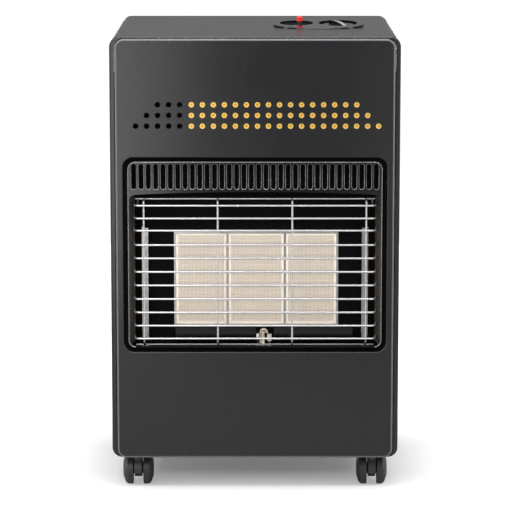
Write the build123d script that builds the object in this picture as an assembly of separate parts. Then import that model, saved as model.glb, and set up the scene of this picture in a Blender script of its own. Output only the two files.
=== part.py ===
from build123d import *
import math
import os

# Portable gas cabinet heater: a sheet-steel cabinet on four twin-wheel castors, with a
# three-plaque radiant burner behind a wire guard, and a bay behind it for a gas cylinder.
# Millimetres. X is to the right, Y runs from the front to the back, Z is up, and the
# origin lies on the floor under the middle of the cabinet.

# ---------------------------------------------------------------- driving dimensions
WIDTH = 440.0             # cabinet, side to side
DEPTH = 420.0             # cabinet, front face to rear cover
CABINET_TOP = 704.0       # top face above the floor
CASING_BOTTOM = 54.6      # lower edge of the side walls above the floor
PANEL_BOTTOM = 54.4       # lower edge of the front panel above the floor
SHEET = 1.0               # steel sheet
FACE_GAP = 0.5            # sheet edges that lie beside each other

TOP_CORNER = 16.0         # casing corner radii, seen from the front
BOTTOM_CORNER = 15.0
CASING_SETBACK = 4.0      # casing's front rim behind the front panel's face
SIDE_BAND = 7.0           # casing rim that shows beside the panel
TOP_BAND = 2.0            # casing rim that shows above the panel
GROOVE = 1.0              # between the casing's rim and the panel
RIM_ROUND = 3.0           # outer bend radius of pressed edges
RETURN_WIDTH = 24.0       # the side walls' turned-in bottom edges
STOP_WIDTH = 12.0         # flange that the rear cover closes against
STOP_SETBACK = 11.0       # that flange in front of the cabinet's back
LUG_REACH = 5.0           # casing lugs inside the panel's edge, which is screwed to them
LUG_HEIGHT = 20.0
LUG_ROWS = (130.0, 380.0, 640.0)

PANEL_RETURN = 9.0        # depth of the front panel's bent edges
PANEL_CORNER = 14.0
WINDOW_SIDE = 19.5        # heat opening inside the cabinet's sides
WINDOW_BOTTOM = 220.8
WINDOW_TOP = 521.1
WINDOW_CORNER = 16.0
WINDOW_ROLL = 6.0         # radius of the opening's rolled-in edge
WINDOW_ROLL_DEPTH = 8.0

HOLE_DIAMETER = 8.3       # punched holes above the heat opening
HOLE_SIDES = 10
HOLE_RISES = (80.3, 64.1, 47.8)     # the three rows over the heat opening
OPEN_HOLES = (3, 4, 5)              # black holes in each row, counted to the left
BACKED_HOLES = (16, 17, 18)         # gold-backed holes in each row, counted to the right
OPEN_MARGIN = 31.6        # first hole from the panel's left edge
BACKED_MARGIN = 25.15     # last hole from its right edge
BACKED_GAP = 17.6         # last open hole to the first backed one
INSERT_MARGIN = 4.0       # gold insert beyond its outer holes

BEZEL_SIDE_GAP = 6.7      # bezel inside the heat opening
BEZEL_BOTTOM_GAP = 6.3
BEZEL_TOP_GAP = 6.6
BEZEL_CORNER = 12.0
BEZEL_LIP = 1.6           # width of the bezel's raised rim
BEZEL_LIP_SETBACK = 2.0   # rim behind the panel's face
BEZEL_FACE_SETBACK = 4.0  # louvred face behind the panel's face
BEZEL_WALL = 1.5
BEZEL_FLANGE = 6.0        # mounting flange outside the rolled edge's foot
LOUVRE_PITCH = 11.16
LOUVRE_WIDTH = 7.2
LOUVRE_HEIGHT = 38.6
LOUVRE_TOP_MARGIN = 3.7   # louvres inside the bezel
LOUVRE_SIDE_MARGIN = 5.0
LOUVRE_END_STEPS = 4      # straight steps round each louvre's end
GUARD_FRAME = 2.5         # bezel under the guard's opening
GUARD_WINDOW_DROP = 8.7   # guard's opening under the louvres, at the sides
GUARD_WINDOW_RISE = 4.5   # arch of its top edge
CHEEK_INSET = 1.8         # sloping side cheeks inside the bezel
CHEEK_LEAN = 7.4          # their rear edges lie nearer to the middle by this
CHEEK_REAR = 47.0         # their rear edge behind the panel's face

WIRE = 3.0                # guard wire diameter
THIN_WIRE = 2.4           # rear frame wire diameter
WIRE_SIDES = 8
GUARD_SETBACK = 12.5      # front wires' centres behind the panel's face
GUARD_DEPTH = 31.0        # front wires to rear wires
GUARD_BEND = 8.0
CROSS_HEIGHTS = (445.7, 426.0, 407.2, 384.9, 364.3, 343.3, 322.4, 301.2, 280.3, 259.6, 239.4)
REAR_WIRE_HEIGHTS = (224.2, 451.9)
UPRIGHT_INSET = 22.0      # outer uprights from the cheeks' front edges
UPRIGHT_SHARE = 0.335     # inner uprights' place, as a share of the outer ones'
UPRIGHT_BOTTOM = 233.5
CROSS_INSET = 11.0        # cross wires' corners from the cheeks' front edges
CROSS_END_INSET = 4.4     # their ends, in the cheeks' notches
REAR_WIRE_GAP = 1.0       # rear wires end just inside the cheeks
NOTCH_CLEARANCE = 0.3     # over and under a wire end in the cheek's notch
NOTCH_LENGTH = 15.0

FIREBOX_MARGIN = 2.2      # hearth's sides outside the bezel
FIREBOX_FLOOR = 217.0
FIREBOX_BACK = 58.0       # back wall behind the panel's face
FIREBOX_SHOULDER = 450.0  # height where the back wall meets the sloping hood
FIREBOX_TOP = 515.0       # hood's front edge

PLAQUE_BOTTOM = 253.9
PLAQUE_HEIGHT = 142.8
SIDE_PLAQUE_WIDTH = 78.5
CENTRE_PLAQUE_WIDTH = 86.0
PLAQUE_THICKNESS = 13.0
PLAQUE_RIM = 4.5          # plain rim round the perforated field
PLAQUE_FIELD_DEPTH = 0.8
PLAQUE_CLEARANCE = 0.2
BURNER_X = 1.85           # middle of the burner
BURNER_FACE = 55.0        # plaque faces behind the panel's face
FRAME_WALL = 2.6          # burner frame between and round the plaques
FRAME_LEAD = 1.2          # frame's front edge ahead of the plaques
PLENUM_DEPTH = 17.0
PLENUM_DRAFT = 12.0       # degrees
PLENUM_CORNER = 6.0
VENTURI_DIAMETER = 16.0
VENTURI_GAP = 15.0        # mixing tubes' mouths over the injector bracket

SHIELD_FACE = 92.0        # heat shield's front face behind the panel's face
SHIELD_TOP = 640.0
SHIELD_FLANGE = 14.0

REFLECTOR_INSET = 24.5    # bright strips beside the burner, from the cheeks' front edges
REFLECTOR_FRONT = 46.5    # behind the panel's face
REFLECTOR_LIP = 6.0
REFLECTOR_FOOT = 4.0
REFLECTOR_BOTTOM = 233.0
REFLECTOR_TOP = 406.0
BAFFLE_FACE = 50.0        # dark strip under the burner, behind the panel's face
BAFFLE_LEFT_GAP = 44.5    # between the strip's ends and the bright strips' middles
BAFFLE_RIGHT_GAP = 16.5
BAFFLE_BOTTOM = 231.0
BAFFLE_TOP = 249.5

PILOT_X = 12.3            # pilot burner, between its electrode and its thermocouple
PILOT_SETBACK = 50.0      # behind the panel's face
PILOT_NOTCH_LEFT = 10.7
PILOT_NOTCH_RIGHT = 16.7
PILOT_DIAMETER = 5.4
PILOT_TUBE_TOP = 243.5
HOOD_TOP = 248.0          # arched hood over the pilot's tube
HOOD_HALF_WIDTH = 6.2
HOOD_SHIFT = 1.3          # its middle to the right of the tube's
HOOD_DEPTH = 7.4
HOOD_WALL = 1.3
HOOD_LEFT_FOOT = 226.0    # lower ends of its two sides
HOOD_RIGHT_FOOT = 240.5
PILOT_SEAT = 212.0        # where the tube and the leads meet the pilot group
PILOT_FLOOR_SLOT = 5.5    # half depth of its slot in the hearth's floor
PILOT_PLATE_EDGE = 2.0    # bracket beyond that slot
ELECTRODE_OFFSET = -8.0
ELECTRODE_ROD = 2.2
ELECTRODE_TIP = 243.0
ELECTRODE_DIAMETER = 4.4  # of its ceramic sleeve
ELECTRODE_BOTTOM = 233.5
ELECTRODE_TOP = 240.0
SENSOR_OFFSET = 10.0
SENSOR_DIAMETER = 7.4
SENSOR_BOTTOM = 228.0
SENSOR_TOP = 239.0
SENSOR_ROUND = 2.0

FEED_TUBE = 6.0
PILOT_TUBE = 4.0
THERMOCOUPLE_LEAD = 2.4
SPARK_LEAD = 2.8
TUBE_BEND = 12.0
TUBE_SIDES = 12
LEAD_SIDES = 8            # of the thin tube and the leads
SMALL_BEND = 6.0          # of the pilot's tube and the leads
LANE_X = 134.0            # first tube beside the burner
LANE_PITCH = 9.0
LANE_DROP = 29.0          # first feed tube's lowest run under the injector bracket
LANE_SHIFT_TOP = 560.0    # the tubes lean outwards between these heights
LANE_SHIFT_BOTTOM = 520.0
PILOT_LANE_SETBACK = 64.0   # behind the panel's face
SENSOR_LANE_SETBACK = 70.0
PILOT_LEVEL = 205.0       # run of the pilot's tube and the spark lead under the hearth
SPARK_DROP = 14.0         # spark lead's first run under the igniter
INJECTOR_HEX = 9.0        # across flats
INJECTOR_DROP = 11.0      # hexagon under the bracket
INJECTOR_RISE = 10.0      # nozzle over it
BRACKET_HEIGHT = 214.0
BRACKET_SHEET = 1.5
BRACKET_MARGIN = 16.0     # injector bracket beyond the outer injectors
INJECTOR_NOZZLE = 6.0

BASE_SHEET = 1.5
BASE_LIP = 16.0           # base tray's turned-up edges
PAD_INSET = 65.0          # raised pad that the cylinder stands on, from the cabinet's sides
PAD_FRONT = -104.0
PAD_REAR = 184.0
PAD_RISE = 3.0
PAD_CORNER = 20.0

CASTOR_SIDE_INSET = 38.0    # stems from the cabinet's sides
CASTOR_FRONT_INSET = 42.0   # stems from its front and back
CASTOR_REAR_INSET = 45.0
CASTOR_TRAIL = 16.0
WHEEL_DIAMETER = 50.0
WHEEL_WIDTH = 15.4
CASTOR_WIDTH = 47.0       # over both wheels
TREAD_SHARE = 0.55        # flat part of the wheel's width; the rest is its domed face
SHOULDER_SHARE = 0.88     # of its radius, halfway over the dome
AXLE_DIAMETER = 8.0
STEM_DIAMETER = 10.0
RUNNING_GAP = 0.05        # radial clearance of a shaft in its hole
WHEEL_SIDE_GAP = 0.4
HOOD_CROWN_GAP = 1.6      # crown over the wheels' treads
HOOD_CROWN = 1.6          # crown thickness
CROWN_START = 0.8         # height where the crown starts, as a share of its radius
WEB_DROP = 3.0            # web's front corner under the axle's middle
WEB_HUB_RADIUS = 13.5     # web round the axle
WHEEL_BOSS = 2.0          # wheels' inner bosses, which run beside the web
WHEEL_BOSS_DIAMETER = 18.0
SOCKET_DIAMETER = 20.0
SOCKET_FLANGE = 32.0
SOCKET_TOP = 84.0
SOCKET_LIFT = 0.5         # over the hood's crown

CONTROL_INSET = 120.0     # control panel's middle from the cabinet's right side
CONTROL_SETBACK = 194.5   # behind the panel's face
CONTROL_TILT = 4.0        # degrees, towards the user
CONTROL_HALF_WIDTH = 71.0
CONTROL_HALF_DEPTH = 52.5
CONTROL_FRONT_RISE = 1.2  # front edge above the casing
CONTROL_WALL = 2.5
CONTROL_CUT_SIDE = 4.0    # casing's cut-out inside the moulding
CONTROL_CUT_FRONT = 3.0
WELL_SPACING = 65.4
WELL_SHIFT = -2.0         # wells to the left of the panel's middle
WELL_OFFSET = 6.0         # and behind it
BUTTON_WELL_RADIUS = 26.5
KNOB_WELL_RADIUS = 30.5
WELL_WALL = 2.0
WELL_SCOOP = 0.4          # round at a well's foot, as a share of its depth
CONTROL_ROUND = 0.8       # edge of the panel's top
KNOB_WELL_DEPTH = 9.5
BUTTON_WELL_DEPTH = 3.6

KNOB_RADIUS = 25.0
KNOB_TRAVEL = 3.5
KNOB_SKIRT = 3.5
KNOB_BITE = 1.0           # grip's foot in the skirt
KNOB_GRIP_LENGTH = 40.0
KNOB_GRIP_WIDTH = 8.0
KNOB_GRIP_RISE = 4.6      # over the skirt, at the middle
KNOB_FAR_RISE = 3.0       # at the grip's ends
KNOB_NEAR_RISE = 0.6
KNOB_FLOOR_GAP = 0.3      # over the well's floor when pushed in
KNOB_TURN = 32.0          # degrees, grip at rest from the front-to-back line
SPINDLE_DIAMETER = 8.0
VALVE_BORE = 15.0
VALVE_WIDTH = 46.0
VALVE_DEPTH = 34.0
VALVE_HEIGHT = 34.0
BONNET_DIAMETER = 26.0
BONNET_HEIGHT = 9.0
BONNET_CAP = 2.0          # thickness over the plunger's bore
SPINDLE_REACH = 19.5      # into the valve's block
PLUNGER_HEIGHT = 4.0
PLUNGER_DROP = 3.5        # below the bonnet's top
VALVE_ROUND = 4.0
OUTLET_DROP = -40.0       # feed outlets, from the control panel's face
OUTLET_ROW = 13.0         # pilot and thermocouple outlets above them
OUTLET_PITCH = 12.5
OUTLET_BOSS = 6.0
OUTLET_BOSS_DIAMETER = 9.0
NOZZLE_COLLAR = 6.0
NOZZLE_COLLAR_DIAMETER = 13.0
NOZZLE_DIAMETER = 9.0
NOZZLE_LENGTH = 24.0
NOZZLE_BORE = 5.0

BUTTON_DIAMETER = 9.8
BUTTON_SHIFT = 4.8        # to the right of its well's middle
BUTTON_CAP_HEIGHT = 6.5
BUTTON_ROUND = 1.0
BUTTON_TOP = 9.8          # over the control panel's face
BUTTON_STEM = 7.6
BUTTON_TRAVEL = 2.5
PIEZO_DIAMETER = 18.0
PIEZO_LENGTH = 40.0
PIEZO_BORE_DEPTH = 10.4

COVER_GAP = 0.8           # round the rear cover
SEAT_GAP = 0.3            # between a moving piece and what it rests on
COVER_LOUVRES = 9         # in each of four groups
COVER_LOUVRE_WIDTH = 120.0
COVER_LOUVRE_PITCH = 16.0
COVER_LOUVRE_MARGIN = 50.0
TONGUE_WIDTH = 40.0       # base tongues that carry the cover's foot
TONGUE_X = 120.0

SCREW_HEAD = 8.0          # across corners
SCREW_SHANK = 4.0
SCREW_HEAD_HEIGHT = 2.0
SCREW_TIP = 2.0           # through the base tray
SCREW_SIDES = 8
SCREW_ROWS = (-105.0, 0.0, 105.0)   # along the side walls' turned-in edges

# ---------------------------------------------------------------- derived places
HALF_WIDTH = WIDTH / 2
BACK_Y = DEPTH / 2
CASING_INSIDE = HALF_WIDTH - SHEET
BASE_BOTTOM = CASING_BOTTOM + SHEET
BASE_TOP = BASE_BOTTOM + BASE_SHEET
COVER_RETURN = STOP_SETBACK - SEAT_GAP
PANEL_HALF_WIDTH = HALF_WIDTH - SIDE_BAND - GROOVE
PANEL_TOP = CABINET_TOP - TOP_BAND - GROOVE
HOLE_ROWS = [WINDOW_TOP + rise for rise in HOLE_RISES]
HOLE_STEPS = max(OPEN_HOLES) + max(BACKED_HOLES) - 2
HOLE_PITCH = (2 * PANEL_HALF_WIDTH - OPEN_MARGIN - BACKED_MARGIN - BACKED_GAP) / HOLE_STEPS
LAST_OPEN_X = OPEN_MARGIN - PANEL_HALF_WIDTH + (max(OPEN_HOLES) - 1) * HOLE_PITCH
FIRST_BACKED_X = LAST_OPEN_X + BACKED_GAP
WINDOW_HALF_WIDTH = HALF_WIDTH - WINDOW_SIDE
BEZEL_HALF_WIDTH = WINDOW_HALF_WIDTH - BEZEL_SIDE_GAP
BEZEL_BOTTOM = WINDOW_BOTTOM + BEZEL_BOTTOM_GAP
BEZEL_TOP = WINDOW_TOP - BEZEL_TOP_GAP
LOUVRE_TOP = BEZEL_TOP - LOUVRE_TOP_MARGIN
LOUVRE_BOTTOM = LOUVRE_TOP - LOUVRE_HEIGHT
LOUVRE_ROOM = 2 * (BEZEL_HALF_WIDTH - LOUVRE_SIDE_MARGIN)
LOUVRE_COUNT = int((LOUVRE_ROOM - LOUVRE_WIDTH) / LOUVRE_PITCH) + 1
GUARD_WINDOW_BOTTOM = BEZEL_BOTTOM + GUARD_FRAME
GUARD_WINDOW_TOP = LOUVRE_BOTTOM - GUARD_WINDOW_DROP
CHEEK_FRONT_X = BEZEL_HALF_WIDTH - CHEEK_INSET
CHEEK_REAR_X = CHEEK_FRONT_X - CHEEK_LEAN
CROSS_HALF_WIDTH = CHEEK_FRONT_X - CROSS_INSET
CROSS_END_X = CHEEK_FRONT_X - CROSS_END_INSET
OUTER_UPRIGHT_X = CHEEK_FRONT_X - UPRIGHT_INSET
INNER_UPRIGHT_X = OUTER_UPRIGHT_X * UPRIGHT_SHARE
REFLECTOR_X = CHEEK_FRONT_X - REFLECTOR_INSET
FIREBOX_HALF_WIDTH = BEZEL_HALF_WIDTH + FIREBOX_MARGIN
VENTURI_END = BRACKET_HEIGHT + VENTURI_GAP
INJECTOR_BOTTOM = BRACKET_HEIGHT - INJECTOR_DROP
LANE_LEVEL = BRACKET_HEIGHT - LANE_DROP
PAD_HALF_WIDTH = HALF_WIDTH - PAD_INSET
CASTOR_X = HALF_WIDTH - CASTOR_SIDE_INSET
WEB_WIDTH = CASTOR_WIDTH - 2 * (WHEEL_WIDTH + WHEEL_BOSS + WHEEL_SIDE_GAP)
CONTROL_X = HALF_WIDTH - CONTROL_INSET
BUTTON_X = WELL_SHIFT - WELL_SPACING / 2 + BUTTON_SHIFT
KNOB_X = WELL_SHIFT + WELL_SPACING / 2
KNOB_BASE = -KNOB_WELL_DEPTH + KNOB_TRAVEL + KNOB_FLOOR_GAP   # skirt's foot under the panel's face
TRAY_HALF_WIDTH = CASING_INSIDE - (BOTTOM_CORNER - SHEET)
TRAY_INSIDE = TRAY_HALF_WIDTH - BASE_SHEET
TRAY_REAR = BACK_Y - COVER_RETURN - FACE_GAP
FRONT_STEM_Y = CASTOR_FRONT_INSET - BACK_Y
REAR_STEM_Y = BACK_Y - CASTOR_REAR_INSET
CROWN_RADIUS = WHEEL_DIAMETER / 2 + HOOD_CROWN_GAP + HOOD_CROWN
CROWN_TOP = WHEEL_DIAMETER / 2 + CROWN_RADIUS
BURNER_WIDTH = 2 * SIDE_PLAQUE_WIDTH + CENTRE_PLAQUE_WIDTH + 2 * FRAME_WALL
PLAQUES = {
    "left": (BURNER_X - CENTRE_PLAQUE_WIDTH / 2 - FRAME_WALL - SIDE_PLAQUE_WIDTH / 2, SIDE_PLAQUE_WIDTH),
    "centre": (BURNER_X, CENTRE_PLAQUE_WIDTH),
    "right": (BURNER_X + CENTRE_PLAQUE_WIDTH / 2 + FRAME_WALL + SIDE_PLAQUE_WIDTH / 2, SIDE_PLAQUE_WIDTH),
}
PLENUM_FRONT = BURNER_FACE + PLAQUE_THICKNESS
PLENUM_REAR = PLENUM_FRONT + PLENUM_DEPTH
VENTURI_DEPTH = (PLENUM_FRONT + PLENUM_REAR) / 2


def behind(distance):
    """Y of a point this far behind the front panel's face."""
    return -BACK_Y + distance


def box(x0, x1, y0, y1, z0, z1):
    """Box between two corners."""
    centre = ((x0 + x1) / 2, (y0 + y1) / 2, (z0 + z1) / 2)
    return Pos(*centre) * Box(x1 - x0, y1 - y0, z1 - z0)


def slab(outline, near, far):
    """An outline in (X, Z), made solid from Y near to Y far."""
    plane = Plane(origin=(0, near, 0), x_dir=(1, 0, 0), z_dir=(0, -1, 0))
    return extrude(plane * outline, amount=near - far)


def rounded(x0, x1, z0, z1, lower, upper):
    """A rectangle in (X, Z) with its own radius for the lower and the upper corners."""
    outline = Pos((x0 + x1) / 2, (z0 + z1) / 2) * Rectangle(x1 - x0, z1 - z0)
    outline = fillet(outline.vertices().group_by(Axis.Y)[0], lower)
    return fillet(outline.vertices().group_by(Axis.Y)[-1], upper)


def cylinder_up(x, y, z0, z1, diameter):
    """Upright cylinder."""
    return Pos(x, y, z0) * Cylinder(diameter / 2, z1 - z0, align=(Align.CENTER, Align.CENTER, Align.MIN))


def prism_up(x, y, z0, z1, across_corners, sides):
    """Upright prism on a regular polygon, such as a hexagon head."""
    return Pos(x, y, z0) * extrude(RegularPolygon(across_corners / 2, sides), amount=z1 - z0)


def tube_along(points, bend, diameter, sides=0):
    """A wire or tube along straight runs with round bends, round or with flat sides."""
    path = FilletPolyline(*points, radius=bend)
    start = Plane(origin=path @ 0, z_dir=path % 0)
    if sides:
        flat_turn = Rot(0, 0, 180 / sides)
        section = start * flat_turn * RegularPolygon(diameter / 2, sides, major_radius=False)
    else:
        section = start * Circle(diameter / 2)
    return sweep(section, path=path)


def straight_wire(x0, x1, y, z, diameter):
    """A straight wire along X with flat sides."""
    side_view = Plane(origin=(x0, y, z), x_dir=(0, 1, 0), z_dir=(1, 0, 0))
    section = Rot(0, 0, 180 / WIRE_SIDES) * RegularPolygon(diameter / 2, WIRE_SIDES, major_radius=False)
    return extrude(side_view * section, amount=x1 - x0)


# ---------------------------------------------------------------- cabinet
def cabinet_shell():
    """The wrap: top and sides in one sheet, rounded corners, a rim turned in at the front."""
    front = behind(CASING_SETBACK)
    outer = slab(
        rounded(-HALF_WIDTH, HALF_WIDTH, CASING_BOTTOM, CABINET_TOP, BOTTOM_CORNER, TOP_CORNER),
        front, BACK_Y,
    )
    outer = fillet(outer.faces().sort_by(Axis.Y)[0].edges(), RIM_ROUND)
    inner = slab(
        rounded(
            -CASING_INSIDE, CASING_INSIDE, CASING_BOTTOM + SHEET, CABINET_TOP - SHEET,
            BOTTOM_CORNER - SHEET, TOP_CORNER - SHEET,
        ),
        front + SHEET, BACK_Y + SHEET,
    )
    inner = fillet(inner.faces().sort_by(Axis.Y)[0].edges(), RIM_ROUND - SHEET)
    mouth_x = HALF_WIDTH - SIDE_BAND
    mouth = slab(
        rounded(
            -mouth_x, mouth_x, PANEL_BOTTOM - GROOVE, CABINET_TOP - TOP_BAND,
            PANEL_CORNER + GROOVE, PANEL_CORNER + GROOVE,
        ),
        front - SHEET, front + 2 * RIM_ROUND,
    )
    floor_x = HALF_WIDTH - RETURN_WIDTH
    floor_cut = box(
        -floor_x, floor_x, front - SHEET, BACK_Y + SHEET, PANEL_BOTTOM, CASING_BOTTOM + 2 * SHEET,
    )
    stop_y = BACK_Y - STOP_SETBACK
    stop_frame = slab(
        rounded(
            -CASING_INSIDE, CASING_INSIDE, BASE_TOP + BASE_LIP, CABINET_TOP - SHEET,
            FACE_GAP, TOP_CORNER - SHEET,
        ),
        stop_y - SHEET, stop_y,
    )
    stop_x = CASING_INSIDE - STOP_WIDTH
    stop_frame -= box(
        -stop_x, stop_x, stop_y - 2 * SHEET, stop_y + SHEET,
        CASING_BOTTOM, CABINET_TOP - SHEET - STOP_WIDTH,
    )
    centre_y = behind(CONTROL_SETBACK)
    cut_out = Ellipse(CONTROL_HALF_WIDTH - CONTROL_CUT_SIDE, CONTROL_HALF_DEPTH - CONTROL_CUT_FRONT)
    control_cut = Pos(CONTROL_X, centre_y, CABINET_TOP - 2 * SHEET) * extrude(cut_out, amount=4 * SHEET)
    casing = outer - inner - mouth - floor_cut + stop_frame - control_cut
    lug_front = behind(PANEL_RETURN)
    for height in LUG_ROWS:
        low = height - LUG_HEIGHT / 2
        lug = (lug_front, lug_front + SHEET, low, low + LUG_HEIGHT)
        casing += box(PANEL_HALF_WIDTH - LUG_REACH, CASING_INSIDE, *lug)
        casing += box(-CASING_INSIDE, LUG_REACH - PANEL_HALF_WIDTH, *lug)
    for hole in screw_holes():
        casing -= hole
    return casing


def screw_places():
    """Screws that hold the base tray on the casing's turned-in bottom edges."""
    x = HALF_WIDTH - (RETURN_WIDTH + BOTTOM_CORNER) / 2
    return [(side * x, y) for side in (-1, 1) for y in SCREW_ROWS]


def screw_holes():
    """Tools that cut those screws' holes through the casing and the tray."""
    across = SCREW_SHANK + 2 * RUNNING_GAP
    return [prism_up(x, y, 0, BASE_TOP + SHEET, across, SCREW_SIDES) for x, y in screw_places()]


def casing_screws():
    """Hexagon screws, heads under the casing's turned-in edges."""
    screws = []
    for x, y in screw_places():
        head = prism_up(x, y, CASING_BOTTOM - SCREW_HEAD_HEIGHT, CASING_BOTTOM, SCREW_HEAD, 6)
        shank = prism_up(x, y, CASING_BOTTOM, BASE_TOP + SCREW_TIP, SCREW_SHANK, SCREW_SIDES)
        screws.append(head + shank)
    return Compound(children=screws)


def hole_centres(row, open_ones):
    """Centres of one row's open or gold-backed holes."""
    if open_ones:
        return [(LAST_OPEN_X - i * HOLE_PITCH, HOLE_ROWS[row]) for i in range(OPEN_HOLES[row])]
    return [(FIRST_BACKED_X + i * HOLE_PITCH, HOLE_ROWS[row]) for i in range(BACKED_HOLES[row])]


def punched_holes():
    """Outlines of all the round holes in the front panel."""
    centres = []
    for row in range(len(HOLE_ROWS)):
        centres += hole_centres(row, True) + hole_centres(row, False)
    return [Pos(x, z) * RegularPolygon(HOLE_DIAMETER / 2, HOLE_SIDES) for x, z in centres]


def window_outline(growth):
    """The heat opening, grown or shrunk evenly."""
    half = WINDOW_HALF_WIDTH + growth
    corner = WINDOW_CORNER + growth
    return rounded(-half, half, WINDOW_BOTTOM - growth, WINDOW_TOP + growth, corner, corner)


def front_panel():
    """Pressed front: bent edges, an opening with a rolled-in edge, and punched holes."""
    face = behind(0)
    outer = slab(
        rounded(-PANEL_HALF_WIDTH, PANEL_HALF_WIDTH, PANEL_BOTTOM, PANEL_TOP, PANEL_CORNER, PANEL_CORNER),
        face, behind(PANEL_RETURN),
    )
    outer = fillet(outer.faces().sort_by(Axis.Y)[0].edges(), RIM_ROUND)
    inside_x = PANEL_HALF_WIDTH - SHEET
    inner = slab(
        rounded(
            -inside_x, inside_x, PANEL_BOTTOM + SHEET, PANEL_TOP - SHEET,
            PANEL_CORNER - SHEET, PANEL_CORNER - SHEET,
        ),
        face + SHEET, behind(PANEL_RETURN + SHEET),
    )
    inner = fillet(inner.faces().sort_by(Axis.Y)[0].edges(), RIM_ROUND - SHEET)
    roll_block = slab(window_outline(WINDOW_ROLL + SHEET), face + SHEET / 2, behind(WINDOW_ROLL_DEPTH))
    panel = outer - inner + roll_block
    panel -= slab(window_outline(0), face - SHEET, behind(WINDOW_ROLL_DEPTH + SHEET))
    rim = panel.faces().sort_by(Axis.Y)[0].inner_wires()[0]
    panel = fillet(rim.edges(), WINDOW_ROLL)
    hollow = slab(window_outline(WINDOW_ROLL + 2 * SHEET), face + SHEET, behind(WINDOW_ROLL_DEPTH + SHEET))
    hollow -= slab(window_outline(SHEET), face, behind(WINDOW_ROLL_DEPTH + 2 * SHEET))
    hollow_rim = hollow.faces().sort_by(Axis.Y)[0].inner_wires()[0]
    hollow = fillet(hollow_rim.edges(), WINDOW_ROLL - SHEET)
    panel -= hollow
    holes = slab(Sketch() + punched_holes(), face - SHEET, behind(2 * SHEET))
    return panel - holes


def vent_insert():
    """Gold-coloured strip spot-welded behind the right-hand holes."""
    reach = HOLE_DIAMETER / 2 + INSERT_MARGIN
    last_x = FIRST_BACKED_X + (max(BACKED_HOLES) - 1) * HOLE_PITCH
    left = FIRST_BACKED_X - reach
    right = last_x + reach
    bottom = min(HOLE_ROWS) - reach
    top = max(HOLE_ROWS) + reach
    strip = rounded(left, right, bottom, top, INSERT_MARGIN, INSERT_MARGIN)
    return slab(strip, behind(SHEET), behind(2 * SHEET))


def rear_cover():
    """Removable back: a flat sheet with bent edges and four groups of louvre slots."""
    half = CASING_INSIDE - COVER_GAP
    bottom = BASE_TOP + SEAT_GAP
    top = CABINET_TOP - SHEET - COVER_GAP
    lower = BOTTOM_CORNER - SHEET - COVER_GAP
    upper = TOP_CORNER - SHEET - COVER_GAP
    front_y = BACK_Y - COVER_RETURN
    cover = slab(rounded(-half, half, bottom, top, lower, upper), front_y, BACK_Y)
    inner = rounded(-half + SHEET, half - SHEET, bottom + SHEET, top - SHEET, lower - SHEET, upper - SHEET)
    cover -= slab(inner, front_y - SHEET, BACK_Y - SHEET)
    group = (COVER_LOUVRES - 1) * COVER_LOUVRE_PITCH
    slots = []
    for start in (bottom + COVER_LOUVRE_MARGIN, top - COVER_LOUVRE_MARGIN - group):
        for step in range(COVER_LOUVRES):
            z = start + step * COVER_LOUVRE_PITCH
            for x in (-half / 2, half / 2):
                slots.append(Pos(x, z) * Rectangle(COVER_LOUVRE_WIDTH, COVER_LOUVRE_PITCH / 3))
    return cover - slab(Sketch() + slots, front_y, BACK_Y + SHEET)


def base_plate():
    """Base tray on the casing's turned-in edges, with the cylinder's pad and castor holes."""
    front = behind(PANEL_RETURN + FACE_GAP)
    tray = box(-TRAY_HALF_WIDTH, TRAY_HALF_WIDTH, front, TRAY_REAR, BASE_BOTTOM, BASE_TOP + BASE_LIP)
    tray -= box(
        -TRAY_INSIDE, TRAY_INSIDE, front + BASE_SHEET, TRAY_REAR - BASE_SHEET,
        BASE_TOP, BASE_TOP + 2 * BASE_LIP,
    )
    tongue_end = BACK_Y - SHEET - FACE_GAP
    for x in (-TONGUE_X, TONGUE_X):
        left = x - TONGUE_WIDTH / 2
        tray += box(left, left + TONGUE_WIDTH, TRAY_REAR - SHEET, tongue_end, BASE_BOTTOM, BASE_TOP)
    pad_y = (PAD_FRONT + PAD_REAR) / 2
    pad_length = PAD_REAR - PAD_FRONT
    pad = RectangleRounded(2 * PAD_HALF_WIDTH, pad_length, PAD_CORNER)
    inside = PAD_HALF_WIDTH - BASE_SHEET
    under = RectangleRounded(2 * inside, pad_length - 2 * BASE_SHEET, PAD_CORNER - BASE_SHEET)
    tray += Pos(0, pad_y, BASE_BOTTOM) * extrude(pad, amount=BASE_SHEET + PAD_RISE)
    tray -= Pos(0, pad_y, BASE_BOTTOM - SHEET) * extrude(under, amount=SHEET + PAD_RISE)
    for x, y in castor_places().values():
        tray -= cylinder_up(x, y, 0, BASE_TOP + SHEET, SOCKET_DIAMETER)
    for hole in screw_holes():
        tray -= hole
    return tray


# ---------------------------------------------------------------- castors
def castor_places():
    """Stem position of each castor."""
    return {
        "front_left": (-CASTOR_X, FRONT_STEM_Y),
        "front_right": (CASTOR_X, FRONT_STEM_Y),
        "rear_left": (-CASTOR_X, REAR_STEM_Y),
        "rear_right": (CASTOR_X, REAR_STEM_Y),
    }


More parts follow.
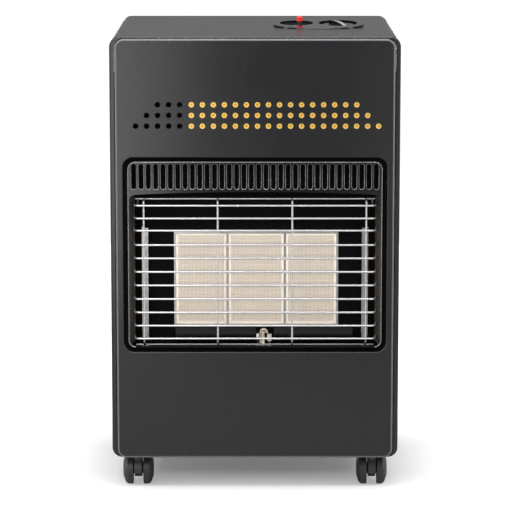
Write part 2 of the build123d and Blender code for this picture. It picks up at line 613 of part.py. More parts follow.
def castor_sockets():
    """Four moulded sockets, flanges under the base plate and sleeves through it."""
    sockets = []
    for x, y in castor_places().values():
        socket = cylinder_up(x, y, CROWN_TOP + SOCKET_LIFT, SOCKET_TOP, SOCKET_DIAMETER)
        flange = box(
            x - SOCKET_FLANGE / 2, x + SOCKET_FLANGE / 2, y - SOCKET_FLANGE / 2, y + SOCKET_FLANGE / 2,
            CROWN_TOP + SOCKET_LIFT, BASE_BOTTOM,
        )
        edge = HALF_WIDTH - RETURN_WIDTH - FACE_GAP
        flange -= box(edge, HALF_WIDTH, y - SOCKET_FLANGE, y + SOCKET_FLANGE, 0, CABINET_TOP)
        flange -= box(-HALF_WIDTH, -edge, y - SOCKET_FLANGE, y + SOCKET_FLANGE, 0, CABINET_TOP)
        bore = cylinder_up(x, y, 0, SOCKET_TOP + SHEET, STEM_DIAMETER + 2 * RUNNING_GAP)
        sockets.append(socket + flange - bore)
    return Compound(children=sockets)


def castor_hood(x, y):
    """Swivelling part: steel stem, a web between the wheels and a crown over their treads."""
    axle_y = y + CASTOR_TRAIL
    axle_z = WHEEL_DIAMETER / 2
    side_view = Plane(origin=(x, axle_y, axle_z), x_dir=(0, 1, 0), z_dir=(1, 0, 0))
    disc = Circle(CROWN_RADIUS)
    below = Pos(0, -WEB_DROP - CROWN_RADIUS) * Rectangle(3 * CROWN_RADIUS, 2 * CROWN_RADIUS)
    web = extrude(side_view * (disc - below + Circle(WEB_HUB_RADIUS)), amount=WEB_WIDTH / 2, both=True)
    ring = Circle(CROWN_RADIUS) - Circle(CROWN_RADIUS - HOOD_CROWN)
    start = CROWN_RADIUS * CROWN_START
    ring -= Pos(0, start - 2 * CROWN_RADIUS) * Rectangle(3 * CROWN_RADIUS, 4 * CROWN_RADIUS)
    crown = extrude(side_view * ring, amount=CASTOR_WIDTH / 2, both=True)
    stem = cylinder_up(x, y, axle_z, SOCKET_TOP - SHEET, STEM_DIAMETER)
    boss = cylinder_up(x, y, axle_z, CROWN_TOP, STEM_DIAMETER + 4 * SHEET)
    boss &= box(x - WEB_WIDTH, x + WEB_WIDTH, y - CASTOR_TRAIL, y + CASTOR_TRAIL, axle_z, CROWN_TOP)
    axle_hole = Rot(0, 90, 0) * Cylinder(AXLE_DIAMETER / 2, CASTOR_WIDTH)
    return web + crown + boss + stem - Pos(x, axle_y, axle_z) * axle_hole


def castor_axle(x, y):
    """Steel pin pressed through the web; both wheels turn on it."""
    length = CASTOR_WIDTH - 2 * HOOD_CROWN_GAP - 2 * HOOD_CROWN
    pin = Rot(0, 90, 0) * Cylinder(AXLE_DIAMETER / 2, length)
    return Pos(x, y + CASTOR_TRAIL, WHEEL_DIAMETER / 2) * pin


def castor_wheel(x, y, side):
    """Moulded wheel: domed outer face, inner boss and a blind bore; side is -1 or 1."""
    radius = WHEEL_DIAMETER / 2
    bore = AXLE_DIAMETER / 2 + RUNNING_GAP
    outer = CASTOR_WIDTH / 2
    inner = outer - WHEEL_WIDTH
    boss = inner - WHEEL_BOSS
    boss_radius = WHEEL_BOSS_DIAMETER / 2
    bore_end = outer - HOOD_CROWN_GAP - HOOD_CROWN + 2 * RUNNING_GAP
    tread_end = inner + WHEEL_WIDTH * TREAD_SHARE
    shoulder = ((tread_end + outer) / 2, radius * SHOULDER_SHARE)
    section = make_face(Polyline(
        (bore_end, 0), (bore_end, bore), (boss, bore), (boss, boss_radius), (inner, boss_radius),
        (inner, radius), (tread_end, radius), shoulder, (outer, radius / 2), (outer, 0), close=True,
    ))
    wheel = revolve(section, axis=Axis.X)
    if side < 0:
        wheel = mirror(wheel, about=Plane.YZ)
    return Pos(x, y + CASTOR_TRAIL, radius) * wheel


# ---------------------------------------------------------------- heat outlet
def louvre_outline():
    """One upright slot with rounded ends in straight steps."""
    radius = LOUVRE_WIDTH / 2
    middle = (LOUVRE_BOTTOM + LOUVRE_TOP) / 2
    straight = (LOUVRE_TOP - LOUVRE_BOTTOM) / 2 - radius
    points = []
    for end in (1, -1):
        for step in range(LOUVRE_END_STEPS + 1):
            turn = math.pi * step / LOUVRE_END_STEPS
            points.append((end * radius * math.cos(turn), end * (straight + radius * math.sin(turn))))
    return Pos(0, middle) * make_face(Polyline(*points, close=True))


def louvre_bezel():
    """Pressed frame in the heat opening: raised rim, louvred band, cheeks with wire notches."""
    face = behind(BEZEL_FACE_SETBACK)
    foot = behind(WINDOW_ROLL_DEPTH)
    rim = rounded(
        -BEZEL_HALF_WIDTH, BEZEL_HALF_WIDTH, BEZEL_BOTTOM, BEZEL_TOP, BEZEL_CORNER, BEZEL_CORNER,
    )
    bezel = slab(rim, behind(BEZEL_LIP_SETBACK), foot + BEZEL_WALL)
    bezel += slab(window_outline(BEZEL_FLANGE), foot, foot + BEZEL_WALL)
    lip_inside = BEZEL_HALF_WIDTH - BEZEL_LIP
    bezel -= slab(
        rounded(
            -lip_inside, lip_inside, BEZEL_BOTTOM + BEZEL_LIP, BEZEL_TOP - BEZEL_LIP,
            BEZEL_CORNER - BEZEL_LIP, BEZEL_CORNER - BEZEL_LIP,
        ),
        behind(0), face,
    )
    pocket_x = BEZEL_HALF_WIDTH - 2 * BEZEL_LIP
    bezel -= slab(
        rounded(
            -pocket_x, pocket_x, BEZEL_BOTTOM + 2 * BEZEL_LIP, BEZEL_TOP - 2 * BEZEL_LIP,
            BEZEL_CORNER - 2 * BEZEL_LIP, BEZEL_CORNER - 2 * BEZEL_LIP,
        ),
        face + BEZEL_WALL, foot + 2 * BEZEL_WALL,
    )
    half = CHEEK_FRONT_X
    sides = Polyline(
        (-half, GUARD_WINDOW_TOP), (-half, GUARD_WINDOW_BOTTOM), (half, GUARD_WINDOW_BOTTOM),
        (half, GUARD_WINDOW_TOP),
    )
    arch = ThreePointArc(
        (half, GUARD_WINDOW_TOP), (0, GUARD_WINDOW_TOP + GUARD_WINDOW_RISE), (-half, GUARD_WINDOW_TOP),
    )
    bezel -= slab(make_face([sides, arch]), behind(0), foot + 2 * BEZEL_WALL)
    first = -LOUVRE_PITCH * (LOUVRE_COUNT - 1) / 2
    louvres = [Pos(first + i * LOUVRE_PITCH, 0) * louvre_outline() for i in range(LOUVRE_COUNT)]
    bezel -= slab(Sketch() + louvres, behind(0), foot)
    return bezel


def cheek(side):
    """Sloping cheek beside the guard, notched for the ends of the cross wires."""
    front = behind(WINDOW_ROLL_DEPTH + BEZEL_WALL)
    rear = behind(CHEEK_REAR)
    points = [
        (CHEEK_FRONT_X, front), (CHEEK_REAR_X, rear),
        (CHEEK_REAR_X + SHEET, rear), (CHEEK_FRONT_X + SHEET, front),
    ]
    plan = make_face(Polyline(*[(side * x, y) for x, y in points], close=True))
    wall = Pos(0, 0, GUARD_WINDOW_BOTTOM) * extrude(plan, amount=GUARD_WINDOW_TOP - GUARD_WINDOW_BOTTOM)
    notch_end = behind(GUARD_SETBACK + GUARD_DEPTH) + SHEET
    reach = WIRE / 2 + NOTCH_CLEARANCE
    x0, x1 = sorted((side * (CHEEK_REAR_X - WIRE), side * (CHEEK_FRONT_X + WIRE)))
    for height in CROSS_HEIGHTS:
        wall -= box(x0, x1, notch_end - NOTCH_LENGTH, notch_end, height - reach, height + reach)
    return wall


def wire_guard():
    """Welded guard: cross wires bent back into the cheeks, uprights, and two rear wires."""
    front = behind(GUARD_SETBACK)
    rear = front + GUARD_DEPTH
    wires = []
    for height in CROSS_HEIGHTS:
        points = [
            (-CROSS_END_X, rear, height), (-CROSS_HALF_WIDTH, front, height),
            (CROSS_HALF_WIDTH, front, height), (CROSS_END_X, rear, height),
        ]
        wires.append(tube_along(points, GUARD_BEND, WIRE, WIRE_SIDES))
    upright_y = front + WIRE
    weld_y = rear - THIN_WIRE / 2
    low, high = REAR_WIRE_HEIGHTS
    for x in (-OUTER_UPRIGHT_X, -INNER_UPRIGHT_X, INNER_UPRIGHT_X, OUTER_UPRIGHT_X):
        points = [
            (x, rear, high), (x, upright_y, high), (x, upright_y, UPRIGHT_BOTTOM), (x, rear, low),
        ]
        upright = tube_along(points, GUARD_BEND / 2, WIRE, WIRE_SIDES)
        wires.append(upright - box(x - WIRE, x + WIRE, weld_y, rear + WIRE, 0, CABINET_TOP))
    half = CHEEK_REAR_X - REAR_WIRE_GAP
    for height in REAR_WIRE_HEIGHTS:
        wires.append(straight_wire(-half, half, rear, height, THIN_WIRE))
    return Compound(children=wires)


# ---------------------------------------------------------------- hearth and burner
def firebox():
    """Black enamelled hearth: floor, side walls, back wall and sloping hood in one folded box."""
    front = behind(WINDOW_ROLL_DEPTH + BEZEL_WALL)
    back = behind(FIREBOX_BACK)
    side_view = Plane(origin=(0, 0, 0), x_dir=(0, 1, 0), z_dir=(1, 0, 0))
    slope = (FIREBOX_TOP - FIREBOX_SHOULDER) / (back - front)

    def profile(grow, near):
        corners = [
            (near, FIREBOX_FLOOR - grow), (back + grow, FIREBOX_FLOOR - grow),
            (back + grow, FIREBOX_SHOULDER + grow * (1 - slope)),
            (near, FIREBOX_TOP + grow + slope * (front - near)),
        ]
        return side_view * make_face(Polyline(*corners, close=True))

    outer = extrude(profile(SHEET, front), amount=FIREBOX_HALF_WIDTH + SHEET, both=True)
    inner = extrude(profile(0, front - SHEET), amount=FIREBOX_HALF_WIDTH, both=True)
    half = BURNER_WIDTH / 2 + FRAME_WALL + PLAQUE_CLEARANCE
    reach = FRAME_WALL + PLAQUE_CLEARANCE
    window = box(
        BURNER_X - half, BURNER_X + half, back - SHEET, back + 2 * SHEET,
        PLAQUE_BOTTOM - reach, PLAQUE_BOTTOM + PLAQUE_HEIGHT + reach,
    )
    left, right, near, far = pilot_slot()
    slot = box(left, right, near, far, FIREBOX_FLOOR - 2 * SHEET, FIREBOX_FLOOR + SHEET)
    return outer - inner - window - slot


def pilot_slot():
    """Slot in the hearth's floor round the pilot, its electrode and its sensor."""
    y = behind(PILOT_SETBACK)
    left = PILOT_X + ELECTRODE_OFFSET - ELECTRODE_DIAMETER / 2 - SHEET
    right = PILOT_X + SENSOR_OFFSET + SENSOR_DIAMETER / 2 + SHEET
    return left, right, y - PILOT_FLOOR_SLOT, y + PILOT_FLOOR_SLOT


def side_reflector(side):
    """Bright strip beside the burner: a foot on the back wall and a lip facing the front."""
    back = behind(FIREBOX_BACK)
    front = behind(REFLECTOR_FRONT)
    inner_x = REFLECTOR_X - REFLECTOR_LIP / 2
    outer_x = REFLECTOR_X + REFLECTOR_LIP / 2
    foot_x = outer_x + REFLECTOR_FOOT
    points = [
        (inner_x, front), (outer_x, front), (outer_x, back - SHEET), (foot_x, back - SHEET),
        (foot_x, back), (outer_x - SHEET, back), (outer_x - SHEET, front + SHEET), (inner_x, front + SHEET),
    ]
    plan = make_face(Polyline(*[(side * x, y) for x, y in points], close=True))
    return Pos(0, 0, REFLECTOR_BOTTOM) * extrude(plan, amount=REFLECTOR_TOP - REFLECTOR_BOTTOM)


def burner_frame():
    """Stainless frame with one cell for each plaque, open at the back for the plenums."""
    half = BURNER_WIDTH / 2 + FRAME_WALL
    frame = box(
        BURNER_X - half, BURNER_X + half, behind(BURNER_FACE - FRAME_LEAD), behind(PLENUM_FRONT),
        PLAQUE_BOTTOM - FRAME_WALL, PLAQUE_BOTTOM + PLAQUE_HEIGHT + FRAME_WALL,
    )
    for x, width in PLAQUES.values():
        frame -= box(
            x - width / 2, x + width / 2, behind(0), behind(PLENUM_REAR),
            PLAQUE_BOTTOM, PLAQUE_BOTTOM + PLAQUE_HEIGHT,
        )
    return frame


def ceramic_plaque(x, width):
    """Perforated ceramic tile: a sunk honeycomb field inside a plain rim."""
    half = width / 2 - PLAQUE_CLEARANCE
    bottom = PLAQUE_BOTTOM + PLAQUE_CLEARANCE
    top = PLAQUE_BOTTOM + PLAQUE_HEIGHT - PLAQUE_CLEARANCE
    face = behind(BURNER_FACE)
    tile = box(x - half, x + half, face, behind(PLENUM_FRONT), bottom, top)
    field = Pos(x, (bottom + top) / 2) * Rectangle(2 * (half - PLAQUE_RIM), top - bottom - 2 * PLAQUE_RIM)
    return tile - slab(field, face - SHEET, face + PLAQUE_FIELD_DEPTH)


def burner_plenum(x, width):
    """Pressed mixing chamber behind a plaque, with its venturi tube reaching down."""
    half = width / 2
    outline = rounded(
        x - half, x + half, PLAQUE_BOTTOM, PLAQUE_BOTTOM + PLAQUE_HEIGHT, PLENUM_CORNER, PLENUM_CORNER,
    )
    plane = Plane(origin=(0, behind(PLENUM_FRONT), 0), x_dir=(1, 0, 0), z_dir=(0, -1, 0))
    chamber = extrude(plane * outline, amount=-PLENUM_DEPTH, taper=PLENUM_DRAFT)
    tube_y = behind(VENTURI_DEPTH)
    tube = cylinder_up(x, tube_y, VENTURI_END, PLAQUE_BOTTOM + 2 * PLENUM_CORNER, VENTURI_DIAMETER)
    throat = VENTURI_DIAMETER / 2 - SHEET
    mouth = Cone(throat, throat / 2, VENTURI_DIAMETER, align=(Align.CENTER, Align.CENTER, Align.MIN))
    return chamber + tube - Pos(x, tube_y, VENTURI_END) * mouth


def lower_baffle():
    """Dark strip under the burner, notched round the pilot, with its feet on the back wall."""
    front = behind(BAFFLE_FACE)
    back = behind(FIREBOX_BACK)
    left_end = PILOT_X - PILOT_NOTCH_LEFT
    right_start = PILOT_X + PILOT_NOTCH_RIGHT
    left = BAFFLE_LEFT_GAP - REFLECTOR_X
    right = REFLECTOR_X - BAFFLE_RIGHT_GAP
    strip = box(left, right, front, front + SHEET, BAFFLE_BOTTOM, BAFFLE_TOP)
    strip += box(left, right, front, back, BAFFLE_BOTTOM, BAFFLE_BOTTOM + SHEET)
    notch_back = behind(PILOT_SETBACK) + HOOD_DEPTH / 2 + FACE_GAP
    strip -= box(left_end, right_start, front - SHEET, notch_back, 0, CABINET_TOP)
    return strip


def heat_shield():
    """Upright sheet between the hearth and the cylinder bay, its sides and top bent back."""
    face = behind(SHIELD_FACE)
    foot = box(-TRAY_INSIDE, TRAY_INSIDE, face, face + SHEET, BASE_TOP, BASE_TOP + BASE_LIP + SHEET)
    flanged = box(
        -CASING_INSIDE, CASING_INSIDE, face, face + SHIELD_FLANGE, BASE_TOP + BASE_LIP + SHEET, SHIELD_TOP,
    )
    inside = CASING_INSIDE - SHEET
    flanged -= box(-inside, inside, face + SHEET, face + 2 * SHIELD_FLANGE, 0, SHIELD_TOP - SHEET)
    return foot + flanged


# ---------------------------------------------------------------- gas side
def injector_bracket():
    """Angle on the heat shield that holds the injectors under the venturi mouths."""
    xs = [place[0] for place in PLAQUES.values()]
    left = min(xs) - BRACKET_MARGIN
    right = max(xs) + BRACKET_MARGIN
    shield = behind(SHIELD_FACE)
    seat_y = behind(VENTURI_DEPTH)
    low = BRACKET_HEIGHT
    bracket = box(left, right, seat_y - INJECTOR_HEX, shield, low, low + BRACKET_SHEET)
    bracket += box(left, right, shield - BRACKET_SHEET, shield, low, low + BRACKET_MARGIN)
    for x in xs:
        bracket -= cylinder_up(x, seat_y, 0, CABINET_TOP, INJECTOR_NOZZLE + 2 * RUNNING_GAP)
    return bracket


def injectors():
    """Three brass injectors: a hexagon under the bracket and a nozzle through it."""
    seat_y = behind(VENTURI_DEPTH)
    across = INJECTOR_HEX / math.cos(math.pi / 6)
    top = BRACKET_HEIGHT + INJECTOR_RISE
    bodies = []
    for x in [place[0] for place in PLAQUES.values()]:
        hexagon = prism_up(x, seat_y, INJECTOR_BOTTOM, BRACKET_HEIGHT, across, 6)
        nozzle = cylinder_up(x, seat_y, BRACKET_HEIGHT, top, INJECTOR_NOZZLE)
        bodies.append(hexagon + nozzle)
    return Compound(children=bodies)


def outlet_run(step, rise, lane_y):
    """A tube's first straight: from an outlet boss's tip, along the valve's tilt, to its lane."""
    across = KNOB_X + step * OUTLET_PITCH
    back = WELL_OFFSET - VALVE_DEPTH / 2 - OUTLET_BOSS
    start = control_plane().from_local_coords((across, back, OUTLET_DROP + rise))
    fall = (start.Y - lane_y) * math.tan(math.radians(CONTROL_TILT))
    return [
        (start.X, start.Y, start.Z), (start.X, lane_y, start.Z - fall), (start.X, lane_y, LANE_SHIFT_TOP),
    ]


def feed_tube(step, x):
    """Aluminium tube from the valve to the injector at x, in its own lane: 0, 1 or 2."""
    seat_y = behind(VENTURI_DEPTH)
    lane_x = LANE_X + step * LANE_PITCH
    level = LANE_LEVEL - step * LANE_PITCH
    points = outlet_run(step - 1, 0, seat_y)
    points += [
        (lane_x, seat_y, LANE_SHIFT_BOTTOM), (lane_x, seat_y, level), (x, seat_y, level),
        (x, seat_y, INJECTOR_BOTTOM),
    ]
    return tube_along(points, TUBE_BEND, FEED_TUBE, TUBE_SIDES)


def pilot_tube():
    """Thin tube from the valve down the right of the burner and up into the pilot."""
    lane_y = behind(PILOT_LANE_SETBACK)
    pilot_y = behind(PILOT_SETBACK)
    points = outlet_run(-0.5, OUTLET_ROW, lane_y)
    points += [
        (LANE_X, lane_y, LANE_SHIFT_BOTTOM), (LANE_X, lane_y, PILOT_LEVEL), (PILOT_X, lane_y, PILOT_LEVEL),
        (PILOT_X, pilot_y, PILOT_LEVEL), (PILOT_X, pilot_y, PILOT_SEAT),
    ]
    return tube_along(points, SMALL_BEND, PILOT_TUBE, LEAD_SIDES)


def thermocouple():
    """Flame sensor beside the pilot, with its copper lead back to the valve."""
    lane_x = LANE_X + 3 * LANE_PITCH
    lane_y = behind(SENSOR_LANE_SETBACK)
    level = PILOT_LEVEL - SMALL_BEND
    x = PILOT_X + SENSOR_OFFSET
    pilot_y = behind(PILOT_SETBACK)
    points = outlet_run(0.5, OUTLET_ROW, lane_y)
    points += [
        (lane_x, lane_y, LANE_SHIFT_BOTTOM), (lane_x, lane_y, level), (x, lane_y, level),
        (x, pilot_y, level), (x, pilot_y, PILOT_SEAT),
    ]
    lead = tube_along(points, SMALL_BEND, THERMOCOUPLE_LEAD, LEAD_SIDES)
    stalk = cylinder_up(x, pilot_y, PILOT_SEAT, SENSOR_BOTTOM, THERMOCOUPLE_LEAD)
    head = cylinder_up(x, pilot_y, SENSOR_BOTTOM, SENSOR_TOP, SENSOR_DIAMETER)
    head = fillet(head.faces().sort_by(Axis.Z)[0].edges(), SENSOR_ROUND)
    return lead + stalk + head


def spark_electrode():
    """Steel rod in a short white ceramic sleeve beside the pilot's hood."""
    x = PILOT_X + ELECTRODE_OFFSET
    y = behind(PILOT_SETBACK)
    rod = cylinder_up(x, y, PILOT_SEAT, ELECTRODE_TIP, ELECTRODE_ROD)
    sleeve = cylinder_up(x, y, ELECTRODE_BOTTOM, ELECTRODE_TOP, ELECTRODE_DIAMETER)
    return rod + sleeve


def spark_lead():
    """Insulated wire from the igniter down the left of the burner to the electrode."""
    top = -BUTTON_WELL_DEPTH - WELL_WALL - PIEZO_LENGTH
    start = control_plane().from_local_coords((BUTTON_X, WELL_OFFSET, top))
    drop = control_plane().from_local_coords((BUTTON_X, WELL_OFFSET, top - SPARK_DROP))
    lane_y = behind(PILOT_LANE_SETBACK)
    pilot_y = behind(PILOT_SETBACK)
    x = PILOT_X + ELECTRODE_OFFSET
    points = [
        (start.X, start.Y, start.Z), (drop.X, drop.Y, drop.Z), (drop.X, lane_y, drop.Z),
        (-LANE_X, lane_y, LANE_SHIFT_BOTTOM), (-LANE_X, lane_y, PILOT_LEVEL), (x, lane_y, PILOT_LEVEL),
        (x, pilot_y, PILOT_LEVEL), (x, pilot_y, PILOT_SEAT),
    ]
    return tube_along(points, SMALL_BEND, SPARK_LEAD, LEAD_SIDES)


def pilot_bracket():
    """Small plate on the hearth's floor that carries the pilot, electrode and sensor."""
    y = behind(PILOT_SETBACK)
    left, right, near, far = pilot_slot()
    plate = box(
        left - PILOT_PLATE_EDGE, right + PILOT_PLATE_EDGE, near - PILOT_PLATE_EDGE, far + PILOT_PLATE_EDGE,
        FIREBOX_FLOOR, FIREBOX_FLOOR + BRACKET_SHEET,
    )
    for offset, diameter in (
        (0, PILOT_DIAMETER), (ELECTRODE_OFFSET, ELECTRODE_ROD), (SENSOR_OFFSET, THERMOCOUPLE_LEAD),
    ):
        plate -= cylinder_up(PILOT_X + offset, y, 0, CABINET_TOP, diameter + 2 * RUNNING_GAP)
    return plate


def pilot_burner():
    """Pilot: a tube under an arched sheet hood, closed behind and open to the front."""
    near = behind(PILOT_SETBACK) - HOOD_DEPTH / 2
    far = near + HOOD_DEPTH
    middle = PILOT_X + HOOD_SHIFT
    spring = HOOD_TOP - HOOD_HALF_WIDTH

    def arch(half, left_foot, right_foot):
        round_top = Pos(middle, spring) * Circle(half)
        left = Pos(middle - half / 2, (spring + left_foot) / 2) * Rectangle(half, spring - left_foot)
        right = Pos(middle + half / 2, (spring + right_foot) / 2) * Rectangle(half, spring - right_foot)
        below = Pos(middle, spring - half / 2) * Rectangle(2 * half, half)
        return round_top - below + left + right

    hood = slab(arch(HOOD_HALF_WIDTH, HOOD_LEFT_FOOT, HOOD_RIGHT_FOOT), near, far)
    inside = arch(HOOD_HALF_WIDTH - HOOD_WALL, HOOD_LEFT_FOOT - HOOD_WALL, HOOD_LEFT_FOOT - HOOD_WALL)
    hood -= slab(inside, near - HOOD_WALL, far - HOOD_WALL)
    tube = cylinder_up(PILOT_X, behind(PILOT_SETBACK), PILOT_SEAT, PILOT_TUBE_TOP, PILOT_DIAMETER)
    return hood + tube


# ---------------------------------------------------------------- controls
def control_plane():
    """The control panel's tilted face: X to the right, Y to the back, Z off the face."""
    tilt = math.radians(CONTROL_TILT)
    rise = CONTROL_FRONT_RISE + CONTROL_HALF_DEPTH * math.tan(tilt)
    return Plane(
        origin=(CONTROL_X, behind(CONTROL_SETBACK), CABINET_TOP + rise),
        x_dir=(1, 0, 0), z_dir=(0, -math.sin(tilt), math.cos(tilt)),
    )


def on_control(shape):
    """Moves a shape from that tilted frame to its place."""
    return control_plane().location * shape


def control_panel():
    """Moulded panel: a low oval that rises to the back, with two round wells."""
    y = behind(CONTROL_SETBACK)
    tall = 2 * CONTROL_HALF_DEPTH
    lid = on_control(box(-WIDTH, WIDTH, -DEPTH, DEPTH, 0, tall))
    outer_oval = Ellipse(CONTROL_HALF_WIDTH, CONTROL_HALF_DEPTH)
    outer = Pos(CONTROL_X, y, CABINET_TOP) * extrude(outer_oval, amount=tall / 2)
    outer -= lid
    outer = fillet(outer.faces().sort_by(Axis.Z)[-1].edges(), CONTROL_ROUND)
    inner_oval = Ellipse(CONTROL_HALF_WIDTH - CONTROL_WALL, CONTROL_HALF_DEPTH - CONTROL_WALL)
    inner = Pos(CONTROL_X, y, CABINET_TOP - SHEET) * extrude(inner_oval, amount=tall / 2)
    inner -= on_control(box(-WIDTH, WIDTH, -DEPTH, DEPTH, -CONTROL_WALL, tall))
    panel = outer - inner
    for x, depth, radius, bore_x, bore in (
        (BUTTON_X - BUTTON_SHIFT, BUTTON_WELL_DEPTH, BUTTON_WELL_RADIUS, BUTTON_X, BUTTON_STEM),
        (KNOB_X, KNOB_WELL_DEPTH, KNOB_WELL_RADIUS, KNOB_X, SPINDLE_DIAMETER),
    ):
        cup_diameter = 2 * (radius + WELL_WALL)
        cup = cylinder_up(x, WELL_OFFSET, -depth - WELL_WALL, -CONTROL_WALL / 2, cup_diameter)
        well = cylinder_up(x, WELL_OFFSET, -depth, tall, 2 * radius)
        well = fillet(well.faces().sort_by(Axis.Z)[0].edges(), depth * WELL_SCOOP)
        hole = cylinder_up(bore_x, WELL_OFFSET, -tall, tall, bore + 2 * RUNNING_GAP)
        panel = panel + on_control(cup) - on_control(well) - on_control(hole)
    return panel


def control_knob():
    """Round knob with an arched grip bar, bored for the spindle."""
    top = KNOB_BASE + KNOB_SKIRT
    skirt = cylinder_up(0, 0, KNOB_BASE, top, 2 * KNOB_RADIUS)
    skirt = fillet(skirt.faces().sort_by(Axis.Z)[-1].edges(), KNOB_SKIRT / 3)
    half = KNOB_GRIP_LENGTH / 2
    side_view = Plane(origin=(0, 0, 0), x_dir=(0, 1, 0), z_dir=(1, 0, 0))
    near = (-half, top + KNOB_NEAR_RISE)
    far = (half, top + KNOB_FAR_RISE)
    bottom = top - KNOB_BITE
    arch = ThreePointArc(near, (0, top + KNOB_GRIP_RISE), far)
    foot = Polyline(far, (half, bottom), (-half, bottom), near)
    grip = extrude(side_view * make_face([arch, foot]), amount=KNOB_GRIP_WIDTH / 2, both=True)
    knob = Rot(0, 0, KNOB_TURN) * (skirt + grip)
    bore = cylinder_up(0, 0, KNOB_BASE - SHEET, top, SPINDLE_DIAMETER + 2 * RUNNING_GAP)
    return on_control(Pos(KNOB_X, WELL_OFFSET, 0) * (knob - bore))


def valve_spindle():
    """Brass spindle from the knob into the valve body."""
    top = KNOB_BASE + KNOB_SKIRT - 2 * RUNNING_GAP
    bonnet_top = -KNOB_WELL_DEPTH - WELL_WALL
    bottom = bonnet_top - BONNET_HEIGHT - SPINDLE_REACH
    spindle = cylinder_up(0, 0, bottom, top, SPINDLE_DIAMETER)
    return on_control(Pos(KNOB_X, WELL_OFFSET, 0) * spindle)


def valve_plunger():
    """Thrust collar round the spindle: it slides in the bonnet and doesn't turn."""
    top = -KNOB_WELL_DEPTH - WELL_WALL - PLUNGER_DROP
    collar = cylinder_up(0, 0, top - PLUNGER_HEIGHT, top, VALVE_BORE - 2 * RUNNING_GAP)
    collar -= cylinder_up(0, 0, top - 2 * PLUNGER_HEIGHT, top + SHEET, SPINDLE_DIAMETER + 2 * RUNNING_GAP)
    return on_control(Pos(KNOB_X, WELL_OFFSET, 0) * collar)


def gas_valve_body():
    """Die-cast valve under the knob: bonnet, block, outlet bosses and inlet boss."""
    bonnet_top = -KNOB_WELL_DEPTH - WELL_WALL
    block_top = bonnet_top - BONNET_HEIGHT
    block_bottom = block_top - VALVE_HEIGHT
    half = VALVE_WIDTH / 2
    body = box(-half, half, -VALVE_DEPTH / 2, VALVE_DEPTH / 2, block_bottom, block_top)
    body = fillet(body.edges().filter_by(Axis.Z), VALVE_ROUND)
    body += cylinder_up(0, 0, block_top, bonnet_top, BONNET_DIAMETER)
    boss_y = -(VALVE_DEPTH + OUTLET_BOSS) / 2
    boss = Rot(90, 0, 0) * Cylinder(OUTLET_BOSS_DIAMETER / 2, OUTLET_BOSS)
    bosses = [(step * OUTLET_PITCH, OUTLET_DROP) for step in (-1, 0, 1)]
    bosses += [(step * OUTLET_PITCH, OUTLET_DROP + OUTLET_ROW) for step in (-0.5, 0.5)]
    for x, z in bosses:
        body += Pos(x, boss_y, z) * boss
    bore_bottom = block_top - VALVE_BORE
    cap_bottom = bonnet_top - BONNET_CAP
    body -= cylinder_up(0, 0, bore_bottom, cap_bottom, VALVE_BORE)
    spindle_bottom = block_top - SPINDLE_REACH - KNOB_TRAVEL - SHEET
    body -= cylinder_up(0, 0, spindle_bottom, bonnet_top + SHEET, SPINDLE_DIAMETER + 2 * RUNNING_GAP)
    return on_control(Pos(KNOB_X, WELL_OFFSET, 0) * body)


def gas_inlet_nozzle():
    """Brass hose nozzle on the back of the valve."""
    length = NOZZLE_COLLAR + NOZZLE_LENGTH
    nozzle = cylinder_up(0, 0, 0, NOZZLE_COLLAR, NOZZLE_COLLAR_DIAMETER)
    nozzle += cylinder_up(0, 0, 0, length, NOZZLE_DIAMETER)
    nozzle -= cylinder_up(0, 0, length - NOZZLE_LENGTH, length + SHEET, NOZZLE_BORE)
    seat = Pos(KNOB_X, WELL_OFFSET + VALVE_DEPTH / 2, OUTLET_DROP + OUTLET_ROW / 2)
    return on_control(seat * Rot(-90, 0, 0) * nozzle)


def piezo_igniter():
    """Push igniter body under the button's well."""
    top = -BUTTON_WELL_DEPTH - WELL_WALL
    body = cylinder_up(0, 0, top - PIEZO_LENGTH, top, PIEZO_DIAMETER)
    body -= cylinder_up(0, 0, top - PIEZO_BORE_DEPTH, top + SHEET, BUTTON_STEM + 2 * RUNNING_GAP)
    return on_control(Pos(BUTTON_X, WELL_OFFSET, 0) * body)


def igniter_button():
    """Red cap of the push igniter, with a rounded top edge."""
    cap = cylinder_up(0, 0, BUTTON_TOP - BUTTON_CAP_HEIGHT, BUTTON_TOP, BUTTON_DIAMETER)
    cap = fillet(cap.faces().sort_by(Axis.Z)[-1].edges(), BUTTON_ROUND)
    return on_control(Pos(BUTTON_X, WELL_OFFSET, 0) * cap)


def igniter_plunger():
    """Dark stem under the red cap, sliding in the igniter body."""
    bottom = -BUTTON_WELL_DEPTH - WELL_WALL - PIEZO_BORE_DEPTH + BUTTON_TRAVEL + SHEET
    stem = cylinder_up(0, 0, bottom, BUTTON_TOP - BUTTON_CAP_HEIGHT, BUTTON_STEM)
    return on_control(Pos(BUTTON_X, WELL_OFFSET, 0) * stem)


